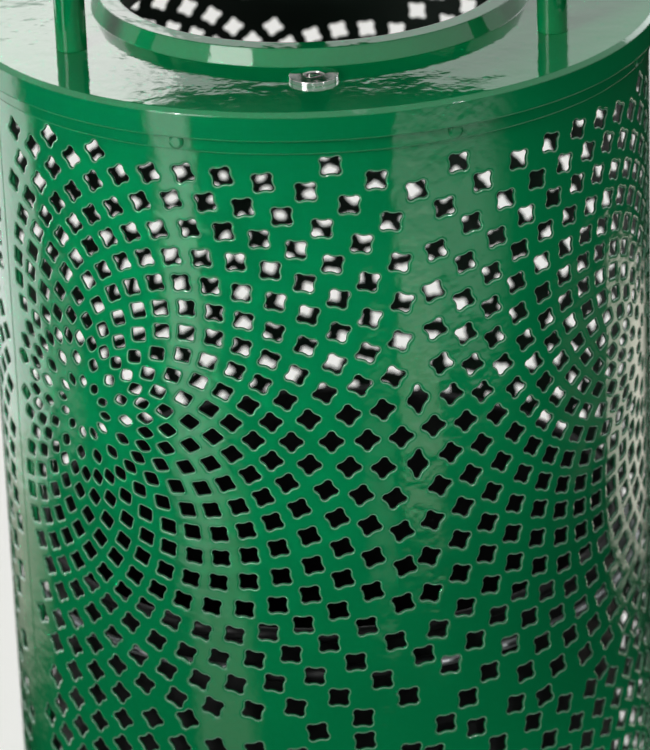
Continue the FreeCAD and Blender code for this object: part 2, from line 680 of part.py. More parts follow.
hinge_bolts, hinge_nuts = [], []
bolt_seat = leaf_face + HEAD_GAP
for th, z in hinge_bolts_at:
    hinge_bolts.append(fuse(
        "hinge_bolt",
        radial_cyl("hinge_bolt_head", dims.hinge_bolt_head_r, bolt_seat, leaf_face + 1.6, th, z),
        radial_cone("hinge_bolt_crown", dims.hinge_bolt_head_r, dims.hinge_bolt_crown_r,
                    leaf_face + 1.6, leaf_face + 3.2, th, z),
        radial_cyl("hinge_bolt_shank", dims.hinge_bolt_r, mantle_ri - 9.0, bolt_seat, th, z)))
    x, y = polar(mantle_ri - 7.7, th)
    hexagon = prism("hinge_nut_hex", 6, dims.hinge_nut_r, dims.hinge_nut_t, x, y, z, outward(th))
    nut_bore = radial_cyl("hinge_nut_bore", dims.hinge_bolt_r + 0.02, mantle_ri - 12, mantle_ri,
                          th, z)
    hinge_nuts.append(cut("hinge_nut", hexagon, nut_bore))
node("hinge_bolts", group("hinge_bolts", hinge_bolts))
node("hinge_nuts", group("hinge_nuts", hinge_nuts))
node("hinge_pin", fuse(
    "hinge_pin_all", along_x("pin_shank", dims.pin_r, PIN_X0, PIN_X1, hinge_y, hinge_z),
    along_x("pin_head", dims.pin_r + dims.pin_head_lip, PIN_HEAD_X, PIN_X0, hinge_y, hinge_z)))

# ---------------------------------------------------------------- hinge, lid half
lid_leaf_face = dims.lid_ro + dims.leaf_t
lid_arc = curved_plate("lid_arc", lid_leaf_face, dims.lid_ro, dims.lid_leaf_height,
                       dims.lid_leaf_low, REAR_TH, dims.lid_leaf_half_deg)
lid_web = prism_x("lid_web", [
    (hinge_y - 8, hinge_z), (hinge_y + knuckle_r, hinge_z), (hinge_y + 2, hinge_z + 8),
    (hinge_y + 2, hinge_z + 20), (hinge_y - 8, hinge_z + 20)],
    -LID_KNUCKLE_HALF, LID_KNUCKLE_HALF)
lid_knuckle = along_x("lid_knuckle", knuckle_r, -LID_KNUCKLE_HALF, LID_KNUCKLE_HALF,
                      hinge_y, hinge_z)
lid_leaf_cuts = [cyl("lid_leaf_clear", dims.lid_ro, 60, z=790),
                 along_x("lid_pin_bore", dims.pin_r + dims.pin_play, -30, 30, hinge_y, hinge_z)]
lid_leaf_cuts += radial_holes("lid_leaf_hole", dims.lid_rivet_r, dims.lid_ro, lid_leaf_face,
                              lid_rivets_at)
node("hinge_leaf_lid", cut("hinge_leaf_lid", fuse("lid_leaf_all", lid_arc, lid_web, lid_knuckle),
                           group("lid_leaf_cuts", lid_leaf_cuts)))

# ---------------------------------------------------------------- lid
# section: outer skirt, flat top, raised lip, collar round the mouth, then back underneath
lid_ro, lip_ro, mouth_r, collar_low = dims.lid_ro, dims.lip_ro, dims.mouth_r, dims.collar_low
skirt_ri = lid_ro - dims.lid_t
collar_ro = mouth_r + dims.lid_t
lip_top = lid_top + dims.lip_rise
lid_blank = revolved("lid_profile", [
    (skirt_ri, dims.lid_low), (lid_ro, dims.lid_low), (lid_ro, lid_top - 2.5),
    (lid_ro - 2.4, lid_top), (lip_ro, lid_top), (lip_ro - 4, lip_top), (mouth_r, lip_top),
    (mouth_r, collar_low), (collar_ro, collar_low), (collar_ro, lip_top - dims.lid_t),
    (lip_ro - 5.7, lip_top - dims.lid_t), (lip_ro - 1.7, lid_under), (lid_ro - 3.3, lid_under),
    (skirt_ri, lid_under - 0.8)])
post_points = ring_points(dims.post_pcr, POSTS)
lid_cuts = [cyl("lid_post_hole", dims.post_bolt_hole_r, 12, x, y, lid_under - 4)
            for x, y in post_points]
lid_cuts.append(cyl("lid_lock_hole", dims.lock_hole_r, 12, 0, dims.lock_y, lid_under - 4))
lid_cuts += radial_holes("lid_rivet_hole", dims.lid_rivet_r, skirt_ri, lid_ro, lid_rivets_at)
node("lid", cut("lid", lid_blank, group("lid_cuts", lid_cuts)))

# the neck joins shank and head across the head gap
node("lid_leaf_rivets", group("lid_leaf_rivets", [
    fuse("lid_leaf_rivet",
         radial_cyl("lid_rivet_shank", dims.lid_rivet_r, skirt_ri, lid_leaf_face, th, z),
         radial_cyl("lid_rivet_head", dims.lid_rivet_head_r, lid_leaf_face + HEAD_GAP,
                    lid_leaf_face + 1.6, th, z),
         radial_cyl("lid_rivet_neck", dims.lid_rivet_r, lid_leaf_face - 0.5,
                    lid_leaf_face + 0.5, th, z))
    for th, z in lid_rivets_at]))

# U-shaped trim pushed up over the collar's lower edge
trim_ri, trim_ro = mouth_r - 1.6, mouth_r + 4.1
trim_low, trim_top = collar_low - 3, collar_low + 6
node("aperture_trim", revolved("aperture_trim", [
    (trim_ri, trim_low), (trim_ro, trim_low), (trim_ro, trim_top), (collar_ro, trim_top),
    (collar_ro, collar_low), (mouth_r, collar_low), (mouth_r, trim_top), (trim_ri, trim_top)]))

# ---------------------------------------------------------------- rain cap
# spherical dome of chord radius cap_ro and height cap_rise above a short skirt
dome_r = (dims.cap_ro * dims.cap_ro + dims.cap_rise * dims.cap_rise) / (dims.cap_rise * 2)
dome_z = dims.cap_low + dims.cap_skirt + dims.cap_rise - dome_r
dome_ri = dome_r - dims.cap_t
cap_height = dims.cap_rise + dims.cap_skirt
cap_solid = common("cap_solid", cyl("cap_disc", dims.cap_ro, cap_height + 5, z=dims.cap_low),
                   ball("cap_ball_outer", dome_r, z=dome_z))
cap_core = common("cap_core", cyl("cap_core_cyl", dims.cap_ro - dims.cap_t, cap_height + 15,
                                  z=dims.cap_low - 5),
                  ball("cap_ball_inner", dome_ri, z=dome_z))
cap_shell = cut("cap_shell", cap_solid, cap_core)

cap_holes, posts, post_bolts, cap_bolts = [], [], [], []
bolt_r = dims.post_bore_r - dims.post_bolt_play
for x, y in post_points:
    cap_holes.append(cyl("cap_hole", dims.post_bore_r + dims.cap_hole_play, 60,
                         x, y, dims.cap_low))
    # post from the lid's top, trimmed to the underside of the dome
    post = common("post_trim", cyl("post_rod", dims.post_ro, 180, x, y, lid_top),
                  ball("post_ball", dome_ri, z=dome_z))
    posts.append(cut("post_one", post, cyl("post_bore", dims.post_bore_r, 190, x, y,
                                           lid_top - 2)))
    post_bolts.append(fuse(
        "post_bolt_one",
        cyl("post_bolt_head", dims.post_bolt_head_r, dims.post_bolt_head_t,
            x, y, lid_under - dims.post_bolt_head_t),
        cyl("post_bolt_shank", bolt_r, dims.post_bolt_len, x, y, lid_under - 1)))
    # head fitted to the top of the dome
    cap_bolt_head = cut("cap_bolt_head",
                        cyl("cap_bolt_blank", dims.cap_bolt_head_r, dims.cap_bolt_head_t,
                            x, y, dims.cap_bolt_head_low),
                        ball("cap_bolt_ball", dome_r, z=dome_z))
    cap_bolts.append(fuse("cap_bolt", cap_bolt_head,
                          cyl("cap_bolt_shank", bolt_r, dims.cap_bolt_len,
                              x, y, dims.cap_bolt_low)))
node("rain_cap", cut("rain_cap", cap_shell, group("cap_holes", cap_holes)))
node("cap_posts", group("cap_posts", posts))
node("post_bolts", group("post_bolts", post_bolts))
node("cap_bolts", group("cap_bolts", cap_bolts))

# ---------------------------------------------------------------- lock, in the lid at the front
lock_y = dims.lock_y
housing = fuse("lock_housing_blank",
               cyl("housing_body", dims.lock_body_r, lid_top - dims.housing_low,
                   0, lock_y, dims.housing_low),
               cyl("housing_flange", dims.housing_flange_r, dims.housing_flange_t,
                   0, lock_y, lid_top))
node("lock_housing", cut("lock_housing", housing,
                         cyl("housing_bore", dims.barrel_r + 0.05, 40, 0, lock_y, 805)))
node("lock_nut", nut("lock_nut", dims.lock_nut_r, dims.lock_nut_t, dims.lock_body_r + 0.03,
                     0, lock_y, lid_under - dims.lock_nut_t))

# barrel with a triangular key stud in its recess and a stub for the cam below
barrel_body = cyl("barrel_body", dims.barrel_r, dims.barrel_len, 0, lock_y, dims.barrel_low)
barrel_recess = cyl("barrel_recess", dims.recess_r, dims.recess_len, 0, lock_y, dims.recess_low)
node("lock_barrel", fuse(
    "lock_barrel_all", cut("barrel_cut", barrel_body, barrel_recess),
    prism("barrel_triangle", 3, dims.triangle_r, dims.triangle_len, 0, lock_y,
          dims.triangle_low),
    cyl("barrel_stub", dims.stub_r, dims.stub_len, 0, lock_y, dims.stub_low)))

# cam with its arm towards +X
cam_blank = fuse("cam_blank", cyl("cam_hub", dims.cam_hub_r, dims.cam_t, 0, lock_y, dims.cam_z),
                 box("cam_arm", dims.cam_reach, dims.cam_width, dims.cam_t,
                     0, lock_y - dims.cam_width / 2, dims.cam_z))
node("lock_cam", cut("lock_cam", cam_blank,
                     cyl("cam_bore", dims.cam_bore_r, 8, 0, lock_y, 806)))
node("cam_nut", nut("cam_nut", dims.cam_nut_r, dims.cam_nut_t, dims.cam_bore_r,
                    0, lock_y, dims.cam_z - dims.cam_nut_drop))

# ---------------------------------------------------------------- liner
liner_bottom, liner_top, liner_t = dims.liner_bottom, dims.liner_top, dims.liner_t
liner_r_low, liner_r_top = dims.liner_r_low, dims.liner_r_top
liner_height = liner_top - liner_bottom
liner_wall = cone("liner_outer", liner_r_low, liner_r_top, liner_height, z=liner_bottom)
liner_void = cone("liner_inner", liner_r_low - liner_t, liner_r_top - liner_t, liner_height,
                  z=liner_bottom + liner_t)
bead = torus("liner_bead", liner_r_top - dims.bead_inset, dims.bead_r, liner_top)
node("liner", cut("liner", fuse("liner_blank", liner_wall, bead), liner_void))

# ears that carry the bail, one on each side along X, two rivets each
EAR_INNER, EAR_OUTER = 174.0, 186.0
EAR_WIDTH, EAR_HEIGHT, EAR_DROP = 23.0, 21.0, 12.0
EAR_RIVET_Y = 7.6
bail_z = dims.bail_axis_z
ear_rivet_z = bail_z - dims.ear_rivet_drop


def side_cyl(name, radius, inner, outer, side, y, z):
    x0, x1 = span(side, inner, outer)
    return along_x(name, radius, x0, x1, y, z)


ears, ear_rivets = [], []
for side in (1, -1):
    ear = box("ear_block", EAR_OUTER - EAR_INNER, EAR_WIDTH, EAR_HEIGHT,
              span(side, EAR_INNER, EAR_OUTER)[0], -EAR_WIDTH / 2, bail_z - EAR_DROP)
    ear_tools = [cone("ear_clear", liner_r_low, liner_r_top, liner_height, z=liner_bottom),
                 side_cyl("ear_hole", dims.bail_pin_r + 0.08, 170.0, 190.0, side, 0, bail_z)]
    for y in (-EAR_RIVET_Y, EAR_RIVET_Y):
        ear_tools.append(side_cyl("ear_rivet_hole", dims.ear_rivet_r, 170.0, 190.0,
                                  side, y, ear_rivet_z))
        ear_rivets.append(fuse("ear_rivet", *[
            side_cyl("ear_rivet_" + name, radius, inner, outer, side, y, ear_rivet_z)
            for name, radius, inner, outer in (
                ("shank", dims.ear_rivet_r, 180.5, EAR_OUTER),
                ("head", dims.ear_rivet_head_r, EAR_OUTER + HEAD_GAP, EAR_OUTER + 1.0),
                ("neck", dims.ear_rivet_r, EAR_OUTER - 0.5, EAR_OUTER + 0.5))]))
    ears.append(cut("ear_one", ear, group("ear_tools", ear_tools)))
node("liner_ears", group("liner_ears", ears))
node("ear_rivets", group("ear_rivets", ear_rivets))

# bail lying level round the front, with its pins turned inwards into the ears
bail_parts = [torus("bail_arc", dims.bail_r, dims.bail_wire_r, bail_z, sweep=180.0, start=180.0)]
bail_parts += [ball("bail_elbow", dims.bail_wire_r + dims.bail_elbow_extra, x, 0, bail_z)
               for x in (dims.bail_r, -dims.bail_r)]
bail_parts += [side_cyl("bail_pin", dims.bail_pin_r, 181.2, 189.5, side, 0, bail_z)
               for side in (1, -1)]
node("bail_handle", fuse("bail_all", *bail_parts))
grip_deg = dims.grip_deg.value
grip_outer = torus("grip_outer", dims.bail_r, dims.grip_ro, bail_z,
                   sweep=grip_deg, start=270.0 - grip_deg / 2)
grip_inner = torus("grip_inner", dims.bail_r, dims.bail_wire_r + 0.02, bail_z)
node("bail_grip", cut("bail_grip", grip_outer, grip_inner))

# ---------------------------------------------------------------- check and write
doc.recompute()
failed = [obj.Name for obj in doc.Objects if "Invalid" in obj.State or "Error" in obj.State]
if failed:
    raise RuntimeError("failed objects: " + ", ".join(failed))
if len({obj.Label for obj in NODES}) != len(NODES):
    raise RuntimeError("two nodes share a label")
for obj in NODES:
    if obj.Shape.isNull() or not obj.Shape.isValid() or not obj.Shape.Solids:
        raise RuntimeError("bad shape: " + obj.Label)
os.makedirs("parts", exist_ok=True)
for obj in NODES:
    obj.Shape.exportStep(os.path.join("parts", obj.Label + ".step"))
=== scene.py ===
"""Round bin with a perforated, green powder-coated sheet mantle.

The bin stands on the floor at z = 0 with its axis on Z. Its front faces -Y, towards the camera.
The CAD pieces get materials, and the mantle is rebuilt as a coated sheet with its openings.
"""

import math
from dataclasses import dataclass
from functools import lru_cache

import bpy
import numpy as np
from mathutils import Matrix, Vector
from mathutils.geometry import delaunay_2d_cdt

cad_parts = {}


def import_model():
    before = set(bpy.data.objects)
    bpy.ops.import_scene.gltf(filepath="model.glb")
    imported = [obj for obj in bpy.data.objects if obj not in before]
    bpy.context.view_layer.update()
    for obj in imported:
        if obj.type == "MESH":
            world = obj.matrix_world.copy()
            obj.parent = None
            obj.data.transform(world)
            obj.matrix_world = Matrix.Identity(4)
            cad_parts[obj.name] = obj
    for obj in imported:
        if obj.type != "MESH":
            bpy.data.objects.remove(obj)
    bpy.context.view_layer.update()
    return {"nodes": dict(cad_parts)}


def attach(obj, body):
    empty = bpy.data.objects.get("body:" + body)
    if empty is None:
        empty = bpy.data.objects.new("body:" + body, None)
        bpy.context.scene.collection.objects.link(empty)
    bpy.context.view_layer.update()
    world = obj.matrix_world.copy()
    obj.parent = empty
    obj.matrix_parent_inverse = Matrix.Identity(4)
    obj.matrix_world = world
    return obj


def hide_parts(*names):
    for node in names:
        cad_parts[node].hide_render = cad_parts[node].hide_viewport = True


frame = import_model()
MM = 0.001

# ------------------------------------------------------------------ node trees


def is_socket(value):
    return isinstance(value, bpy.types.NodeSocket)


def rgba(color):
    return color if is_socket(color) else (*color, 1.0)


class Tree:
    """Short-hand for building the nodes of a material or a world."""

    def __init__(self, owner, output="ShaderNodeOutputMaterial"):
        owner.use_nodes = True
        self.owner = owner
        self.tree = owner.node_tree
        self.tree.nodes.clear()
        self.output = self.add(output)

    def add(self, kind, **settings):
        node = self.tree.nodes.new(kind)
        for key, value in settings.items():
            setattr(node, key, value)
        return node

    def put(self, socket, value):
        """Link a socket to the input, or set the input to a plain value."""
        if is_socket(value):
            self.tree.links.new(value, socket)
        else:
            socket.default_value = value

    def finish(self, shader):
        self.put(self.output.inputs["Surface"], shader.outputs[0])
        return self.owner

    def coords(self):
        return self.add("ShaderNodeTexCoord").outputs["Object"]

    def noise(self, scale, detail=2.0, rough=0.5, vector=None):
        node = self.add("ShaderNodeTexNoise")
        self.put(node.inputs["Vector"], self.coords() if vector is None else vector)
        node.inputs["Scale"].default_value = scale
        node.inputs["Detail"].default_value = detail
        node.inputs["Roughness"].default_value = rough
        return node.outputs["Fac"]

    def voronoi(self, scale):
        node = self.add("ShaderNodeTexVoronoi")
        self.put(node.inputs["Vector"], self.coords())
        node.inputs["Scale"].default_value = scale
        return node.outputs["Distance"]

    def calc(self, operation, first, second=0.0):
        node = self.add("ShaderNodeMath", operation=operation)
        for socket, value in zip(node.inputs, (first, second, 0.0)):
            self.put(socket, value)
        return node.outputs[0]

    def plus(self, value, by):
        return self.calc("ADD", value, by)

    def times(self, value, by):
        return self.calc("MULTIPLY", value, by)

    def level(self, base, value, gain):
        """base + value * gain"""
        return self.plus(base, self.times(value, gain))

    def vector(self, operation, first, second=(0, 0, 0)):
        node = self.add("ShaderNodeVectorMath", operation=operation)
        self.put(node.inputs[0], first)
        self.put(node.inputs[1], second)
        return node.outputs["Value" if operation == "DOT_PRODUCT" else "Vector"]

    def split(self, vector):
        node = self.add("ShaderNodeSeparateXYZ")
        self.put(node.inputs[0], vector)
        return node.outputs

    def ramp(self, value, low, high, to_low=0.0, to_high=1.0):
        """Smooth step from to_low at low to to_high at high; low may lie above high."""
        node = self.add("ShaderNodeMapRange", interpolation_type="SMOOTHSTEP", clamp=True)
        names = ("Value", "From Min", "From Max", "To Min", "To Max")
        for name, setting in zip(names, (value, low, high, to_low, to_high)):
            self.put(node.inputs[name], setting)
        return node.outputs["Result"]

    def patches(self, low, high, to_low=0.0, to_high=1.0, **noise):
        return self.ramp(self.noise(**noise), low, high, to_low, to_high)

    def mix(self, amount, base, over):
        node = self.add("ShaderNodeMix", data_type="RGBA", blend_type="MIX")
        self.put(node.inputs[0], amount)
        self.put(node.inputs[6], rgba(base))
        self.put(node.inputs[7], rgba(over))
        return node.outputs[2]

    def bump(self, height, distance, strength, normal=None):
        node = self.add("ShaderNodeBump")
        node.inputs["Strength"].default_value = strength
        node.inputs["Distance"].default_value = distance
        self.put(node.inputs["Height"], height)
        if normal is not None:
            self.put(node.inputs["Normal"], normal)
        return node.outputs["Normal"]

    def rounded(self, radius):
        """Normal that makes sharp edges look rounded."""
        node = self.add("ShaderNodeBevel", samples=4)
        node.inputs["Radius"].default_value = radius
        return node.outputs["Normal"]

    def surface(self, color, rough, normal, metallic=0.0, specular=0.5, glow=None):
        node = self.add("ShaderNodeBsdfPrincipled")
        settings = {
            "Base Color": rgba(color), "Roughness": rough, "Normal": normal,
            "Metallic": metallic, "Specular IOR Level": specular, "IOR": 1.5,
            "Coat Weight": 0.0, "Coat Roughness": 0.05,
        }
        if glow is not None:
            settings.update({"Emission Color": color, "Emission Strength": glow})
        for name, value in settings.items():
            self.put(node.inputs[name], value)
        return self.finish(node)


def material_tree(name):
    return Tree(bpy.data.materials.new(name))


# ------------------------------------------------------------------ materials


def sheet_painted_light(tree, color, rough):
    """Painted shade: near-black green on the sheet's inner face; a painted highlight ring and a
    painted shade ring round its openings.
    """
    geometry = tree.add("ShaderNodeNewGeometry")
    level_coords = tree.vector("MULTIPLY", tree.coords(), (1.0, 1.0, 0.0))
    radial = tree.vector("NORMALIZE", level_coords)
    facing = tree.vector("DOT_PRODUCT", radial, geometry.outputs["True Normal"])
    # the true normal is flipped towards the viewer on back faces, the radius is not
    inner = tree.ramp(facing, low=-0.55, high=-0.75)
    # painted shade: the inner face is darkened to near black, standing in for the shadow inside
    # the bin
    painted_inner_shade = tree.mix(tree.noise(scale=40.0, detail=3.0),
                      base=(0.0014, 0.0090, 0.0042), over=(0.0022, 0.0170, 0.0080))
    color = tree.mix(inner, color, over=painted_inner_shade)
    rough = tree.level(base=rough, value=inner, gain=0.35)
    # painted light: a pale ring stands in for the highlight on each opening's rounded rim, a
    # dark ring for its shade
    edge = tree.add("ShaderNodeAttribute", attribute_name="painted_edge_light").outputs["Fac"]
    # the painted highlight ring lies a little outside the lip, the painted shade ring between it
    # and the opening
    painted_rim_highlight = tree.times(tree.ramp(edge, low=0.18, high=0.42), tree.ramp(edge, low=0.70, high=0.52))
    painted_rim_highlight = tree.times(painted_rim_highlight, tree.patches(low=0.15, high=0.5, to_low=0.22, to_high=0.48,
                                         scale=260.0))
    color = tree.mix(painted_rim_highlight, color, over=(0.34, 0.56, 0.44))
    # painted shade: darker green on the opening's edge and down its wall
    painted_rim_shade = tree.ramp(edge, low=0.62, high=0.85, to_high=0.62)
    return tree.mix(painted_rim_shade, color, over=(0.0010, 0.030, 0.012)), rough


def green_gloss(name, is_sheet=False):
    """Gloss powder coat: orange peel at two scales, faint tone drift, dust nibs."""
    tree = material_tree(name)
    tone = tree.patches(low=0.3, high=0.7, scale=7.0, detail=3.0, rough=0.55)
    color = tree.mix(tone, base=(0.0010, 0.264, 0.083), over=(0.0016, 0.307, 0.097))
    flecks = tree.times(tree.patches(low=0.42, high=0.7, scale=320.0), by=0.10)
    color = tree.mix(flecks, color, over=(0.004, 0.36, 0.14))
    # settled dust, thin and patchy
    dusty = tree.patches(low=0.55, high=0.78, scale=11.0, detail=4.0, rough=0.6)
    specks = tree.ramp(tree.voronoi(scale=520.0), low=0.10, high=0.05)
    speck_zone = tree.patches(low=0.60, high=0.70, scale=90.0, detail=1.0)
    dust = tree.times(tree.times(specks, speck_zone),
                      by=tree.plus(tree.times(dusty, by=0.7), by=0.12))
    color = tree.mix(dust, color, over=(0.42, 0.52, 0.45))
    dull = tree.patches(low=0.35, high=0.75, scale=26.0, detail=3.0, rough=0.6)
    rough = tree.level(base=0.040, value=dull, gain=0.05)
    rough = tree.level(base=rough, value=dust, gain=0.5)
    # on the sheet: painted shade on the inner face, and a painted highlight and shade round each
    # opening
    if is_sheet:
        color, rough = sheet_painted_light(tree, color, rough)
    # the sheet's edges are modelled round, the other pieces' are only shaded so
    normal = None if is_sheet else tree.rounded(radius=0.0012)
    wide_peel = tree.noise(scale=46.0, detail=1.5)
    normal = tree.bump(wide_peel, distance=0.00044, strength=0.6, normal=normal)
    fine_peel = tree.noise(scale=175.0, detail=1.0)
    normal = tree.bump(fine_peel, distance=0.00010, strength=0.7, normal=normal)
    normal = tree.bump(dust, distance=0.00006, strength=0.6, normal=normal)
    return tree.surface(color, rough, normal)


def frame_green():
    tree = material_tree("frame_semi_gloss")
    tone = tree.patches(low=0.3, high=0.7, scale=14.0, detail=4.0, rough=0.6)
    color = tree.mix(tone, base=(0.006, 0.050, 0.024), over=(0.011, 0.068, 0.034))
    # low splash of dried mud near the ground
    height = tree.split(tree.coords())[2]
    splash = tree.times(tree.ramp(height, low=0.05, high=0.0),
                        by=tree.patches(low=0.48, high=0.66, scale=60.0, detail=5.0, rough=0.65))
    color = tree.mix(tree.times(splash, by=0.55), color, over=(0.16, 0.13, 0.10))
    rough = tree.level(base=0.30, value=splash, gain=0.45)
    normal = tree.bump(tree.noise(scale=210.0), distance=0.0001, strength=0.7,
                       normal=tree.rounded(radius=0.0008))
    normal = tree.bump(splash, distance=0.0002, strength=0.6, normal=normal)
    return tree.surface(color, rough, normal)


def zinc():
    tree = material_tree("zinc_plate")
    spangle = tree.noise(scale=95.0, detail=4.0, rough=0.7)
    color = tree.mix(tree.ramp(spangle, low=0.3, high=0.75),
                     base=(0.40, 0.42, 0.44), over=(0.60, 0.61, 0.62))
    dull = tree.times(tree.patches(low=0.55, high=0.75, scale=22.0, detail=4.0), by=0.45)
    color = tree.mix(dull, color, over=(0.52, 0.53, 0.50))
    rough = tree.level(base=0.32, value=spangle, gain=0.22)
    normal = tree.bump(spangle, distance=0.00008, strength=0.5,
                       normal=tree.rounded(radius=0.0004))
    return tree.surface(color, rough, normal, metallic=0.9)


def stainless():
    tree = material_tree("stainless_fastener")
    squeezed = tree.vector("MULTIPLY", tree.coords(), (1.0, 1.0, 6.0))
    turning = tree.noise(scale=420.0, rough=0.6, vector=squeezed)
    color = tree.mix(turning, base=(0.50, 0.50, 0.50), over=(0.66, 0.66, 0.65))
    rough = tree.level(base=0.18, value=tree.noise(scale=160.0, detail=3.0), gain=0.25)
    normal = tree.bump(turning, distance=0.00003, strength=0.6,
                       normal=tree.rounded(radius=0.0004))
    return tree.surface(color, rough, normal, metallic=1.0)


def plated():
    tree = material_tree("bright_plate")
    wear = tree.noise(scale=130.0, detail=4.0, rough=0.6)
    color = tree.mix(wear, base=(0.66, 0.66, 0.66), over=(0.80, 0.79, 0.77))
    rough = tree.level(base=0.08, value=tree.ramp(wear, low=0.45, high=0.7), gain=0.22)
    normal = tree.bump(tree.noise(scale=900.0, detail=1.0), distance=0.00001, strength=0.4,
                       normal=tree.rounded(radius=0.0005))
    return tree.surface(color, rough, normal, metallic=1.0)


def plastic():
    tree = material_tree("black_moulded_plastic")
    scuff = tree.patches(low=0.56, high=0.72, scale=18.0, detail=5.0, rough=0.7)
    color = tree.mix(tree.times(scuff, by=0.30),
                     base=(0.0045, 0.0048, 0.0052), over=(0.020, 0.021, 0.023))
    rough = tree.level(base=0.46, value=scuff, gain=0.22)
    normal = tree.bump(tree.voronoi(scale=700.0), distance=0.00006, strength=0.35,
                       normal=tree.rounded(radius=0.0008))
    return tree.surface(color, rough, normal, specular=0.35)


def rubber():
    tree = material_tree("black_rubber")
    bloom = tree.patches(low=0.5, high=0.8, scale=34.0, detail=4.0)
    color = tree.mix(tree.times(bloom, by=0.35),
                     base=(0.013, 0.013, 0.013), over=(0.045, 0.045, 0.043))
    rough = tree.level(base=0.62, value=bloom, gain=0.2)
    grain = tree.noise(scale=600.0, detail=3.0, rough=0.6)
    normal = tree.bump(grain, distance=0.00005, strength=0.5,
                       normal=tree.rounded(radius=0.0006))
    return tree.surface(color, rough, normal, specular=0.3)


MANTLE_PAINT = green_gloss("green_powder_coat_sheet", is_sheet=True)
MATERIALS = {
    "green_paint": green_gloss("green_powder_coat"),
    "frame_paint": frame_green(),
    "zinc_steel": zinc(),
    "fastener": stainless(),
    "lock_metal": plated(),
    "liner_plastic": plastic(),
    "rubber": rubber(),
}
# CAD pieces by slot; every other piece is green
PIECES = {
    "frame_paint": ["base_plate", "plinth_ring", "plinth_flange"],
    "zinc_steel": ["floor_plate", "lock_keeper", "hinge_backing_plate", "lock_cam",
                   "liner_ears", "bail_handle"],
    "fastener": ["floor_bolts", "floor_nuts", "shell_bolts", "shell_nuts", "keeper_rivets",
                 "hinge_bolts", "hinge_nuts", "hinge_pin", "post_bolts", "cap_bolts",
                 "lock_nut", "cam_nut", "ear_rivets"],
    "lock_metal": ["lock_housing", "lock_barrel"],
    "liner_plastic": ["liner", "bail_grip"],
    "rubber": ["access_plugs", "liner_pads", "lid_buffers", "aperture_trim"],
}
for piece_name, piece in frame["nodes"].items():
    slot = next((key for key, names in PIECES.items() if piece_name in names), "green_paint")
    piece.data.materials.clear()
    piece.data.materials.append(MATERIALS[slot])

# ------------------------------------------------------------------ openings of the mantle
# Lengths are millimetres. The sheet is unrolled: s runs round the outer face from the front
# (-Y) towards +X, z is the height, and depth is measured outwards from the outer face.

R_OUT, THICK = 200.0, 1.5
Z_LOW, Z_TOP = 63.0, 823.0
Z_MID = (Z_LOW + Z_TOP) / 2
GIRTH = 2 * math.pi * R_OUT
SEAM = -66.4                          # degrees from the front
S_LEFT = math.radians(SEAM) * R_OUT

# the openings form rosettes, three round the bin in two rows, one to a cell
CELL_HALF = 60.0                      # half a cell's width in degrees
FIRST_CELL = -45.0                    # middle of the first cell in degrees
CELL_S, CELL_Z = R_OUT * math.radians(CELL_HALF), 190.0
ROWS = (Z_MID - CELL_Z, Z_MID + CELL_Z)
STRETCH = 1.098                       # rosettes are this much wider than round
RINGS = [16.6, 30.4, 43.2, 56.4, 69.8, 82.4, 93.0, 104.3, 114.4, 124.3, 134.3, 145.2, 155.1,
         164.0, 173.2, 182.0, 191.2] + [200.7 + 9.5 * k for k in range(10)]
# (cell, row): turn in degrees and height offset; no two are set out quite alike
TURN = {
    (0, 1): (-1.0, 0.0), (1, 1): (2.2, -6.2), (2, 1): (0.6, 2.0),
    (0, 0): (0.8, 0.0), (1, 0): (-0.7, 1.5), (2, 0): (1.4, -1.0),
}
INNER_TURN = 4.0                      # degrees the innermost ring lags behind

OUTLINE_POINTS = 28
PERFORATED_Z = (98.0, 803.5)
SEAM_CLEAR = 2.1                      # degrees left blank on each side of the seam
# blank field at the top of the back: half its width in degrees, its lower edge
BLANK_HALF, BLANK_LOW = 16.0, 757.0
BUCKET = 20.0                         # side of the squares used to look up neighbours
BUCKETS_ROUND = int(GIRTH // BUCKET) + 1


@dataclass
class Opening:
    along: float           # s of its middle
    place: np.ndarray      # s, wrapped to 0..GIRTH, and z of its middle
    outline: np.ndarray    # points round its middle
    ring: float
    cell: int
    margin: float          # from its middle to the side of the cell
    merged: bool = False


def bucket(place):
    return int(place[0] // BUCKET), int(place[1] // BUCKET)


def around(grid, place, wrap=False):
    """Everything filed in the 3 x 3 buckets round a place."""
    column, row = bucket(place)
    for i in (-1, 0, 1):
        for j in (-1, 0, 1):
            near = (column + i) % BUCKETS_ROUND if wrap else column + i
            yield from grid.get((near, row + j), ())


def grid_of(middles):
    """Indices of the places, filed by bucket."""
    grid = {}
    for i, middle in enumerate(middles):
        grid.setdefault(bucket(middle), []).append(i)
    return grid


def distances(points, others):
    return np.sqrt(((points[:, None] - others[None]) ** 2).sum(-1))


def signed_area(loop):
    x, y = loop[:, 0], loop[:, 1]
    return 0.5 * np.sum(x * np.roll(y, -1) - np.roll(x, -1) * y)


def inside(point, loop):
    x, y = loop[:, 0], loop[:, 1]
    x_next, y_next = np.roll(x, -1), np.roll(y, -1)
    crosses = (y > point[1]) != (y_next > point[1])
    with np.errstate(divide="ignore", invalid="ignore"):
        x_cross = x + (point[1] - y) * (x_next - x) / (y_next - y)
    return bool(np.count_nonzero(crosses & (point[0] < x_cross)) % 2)


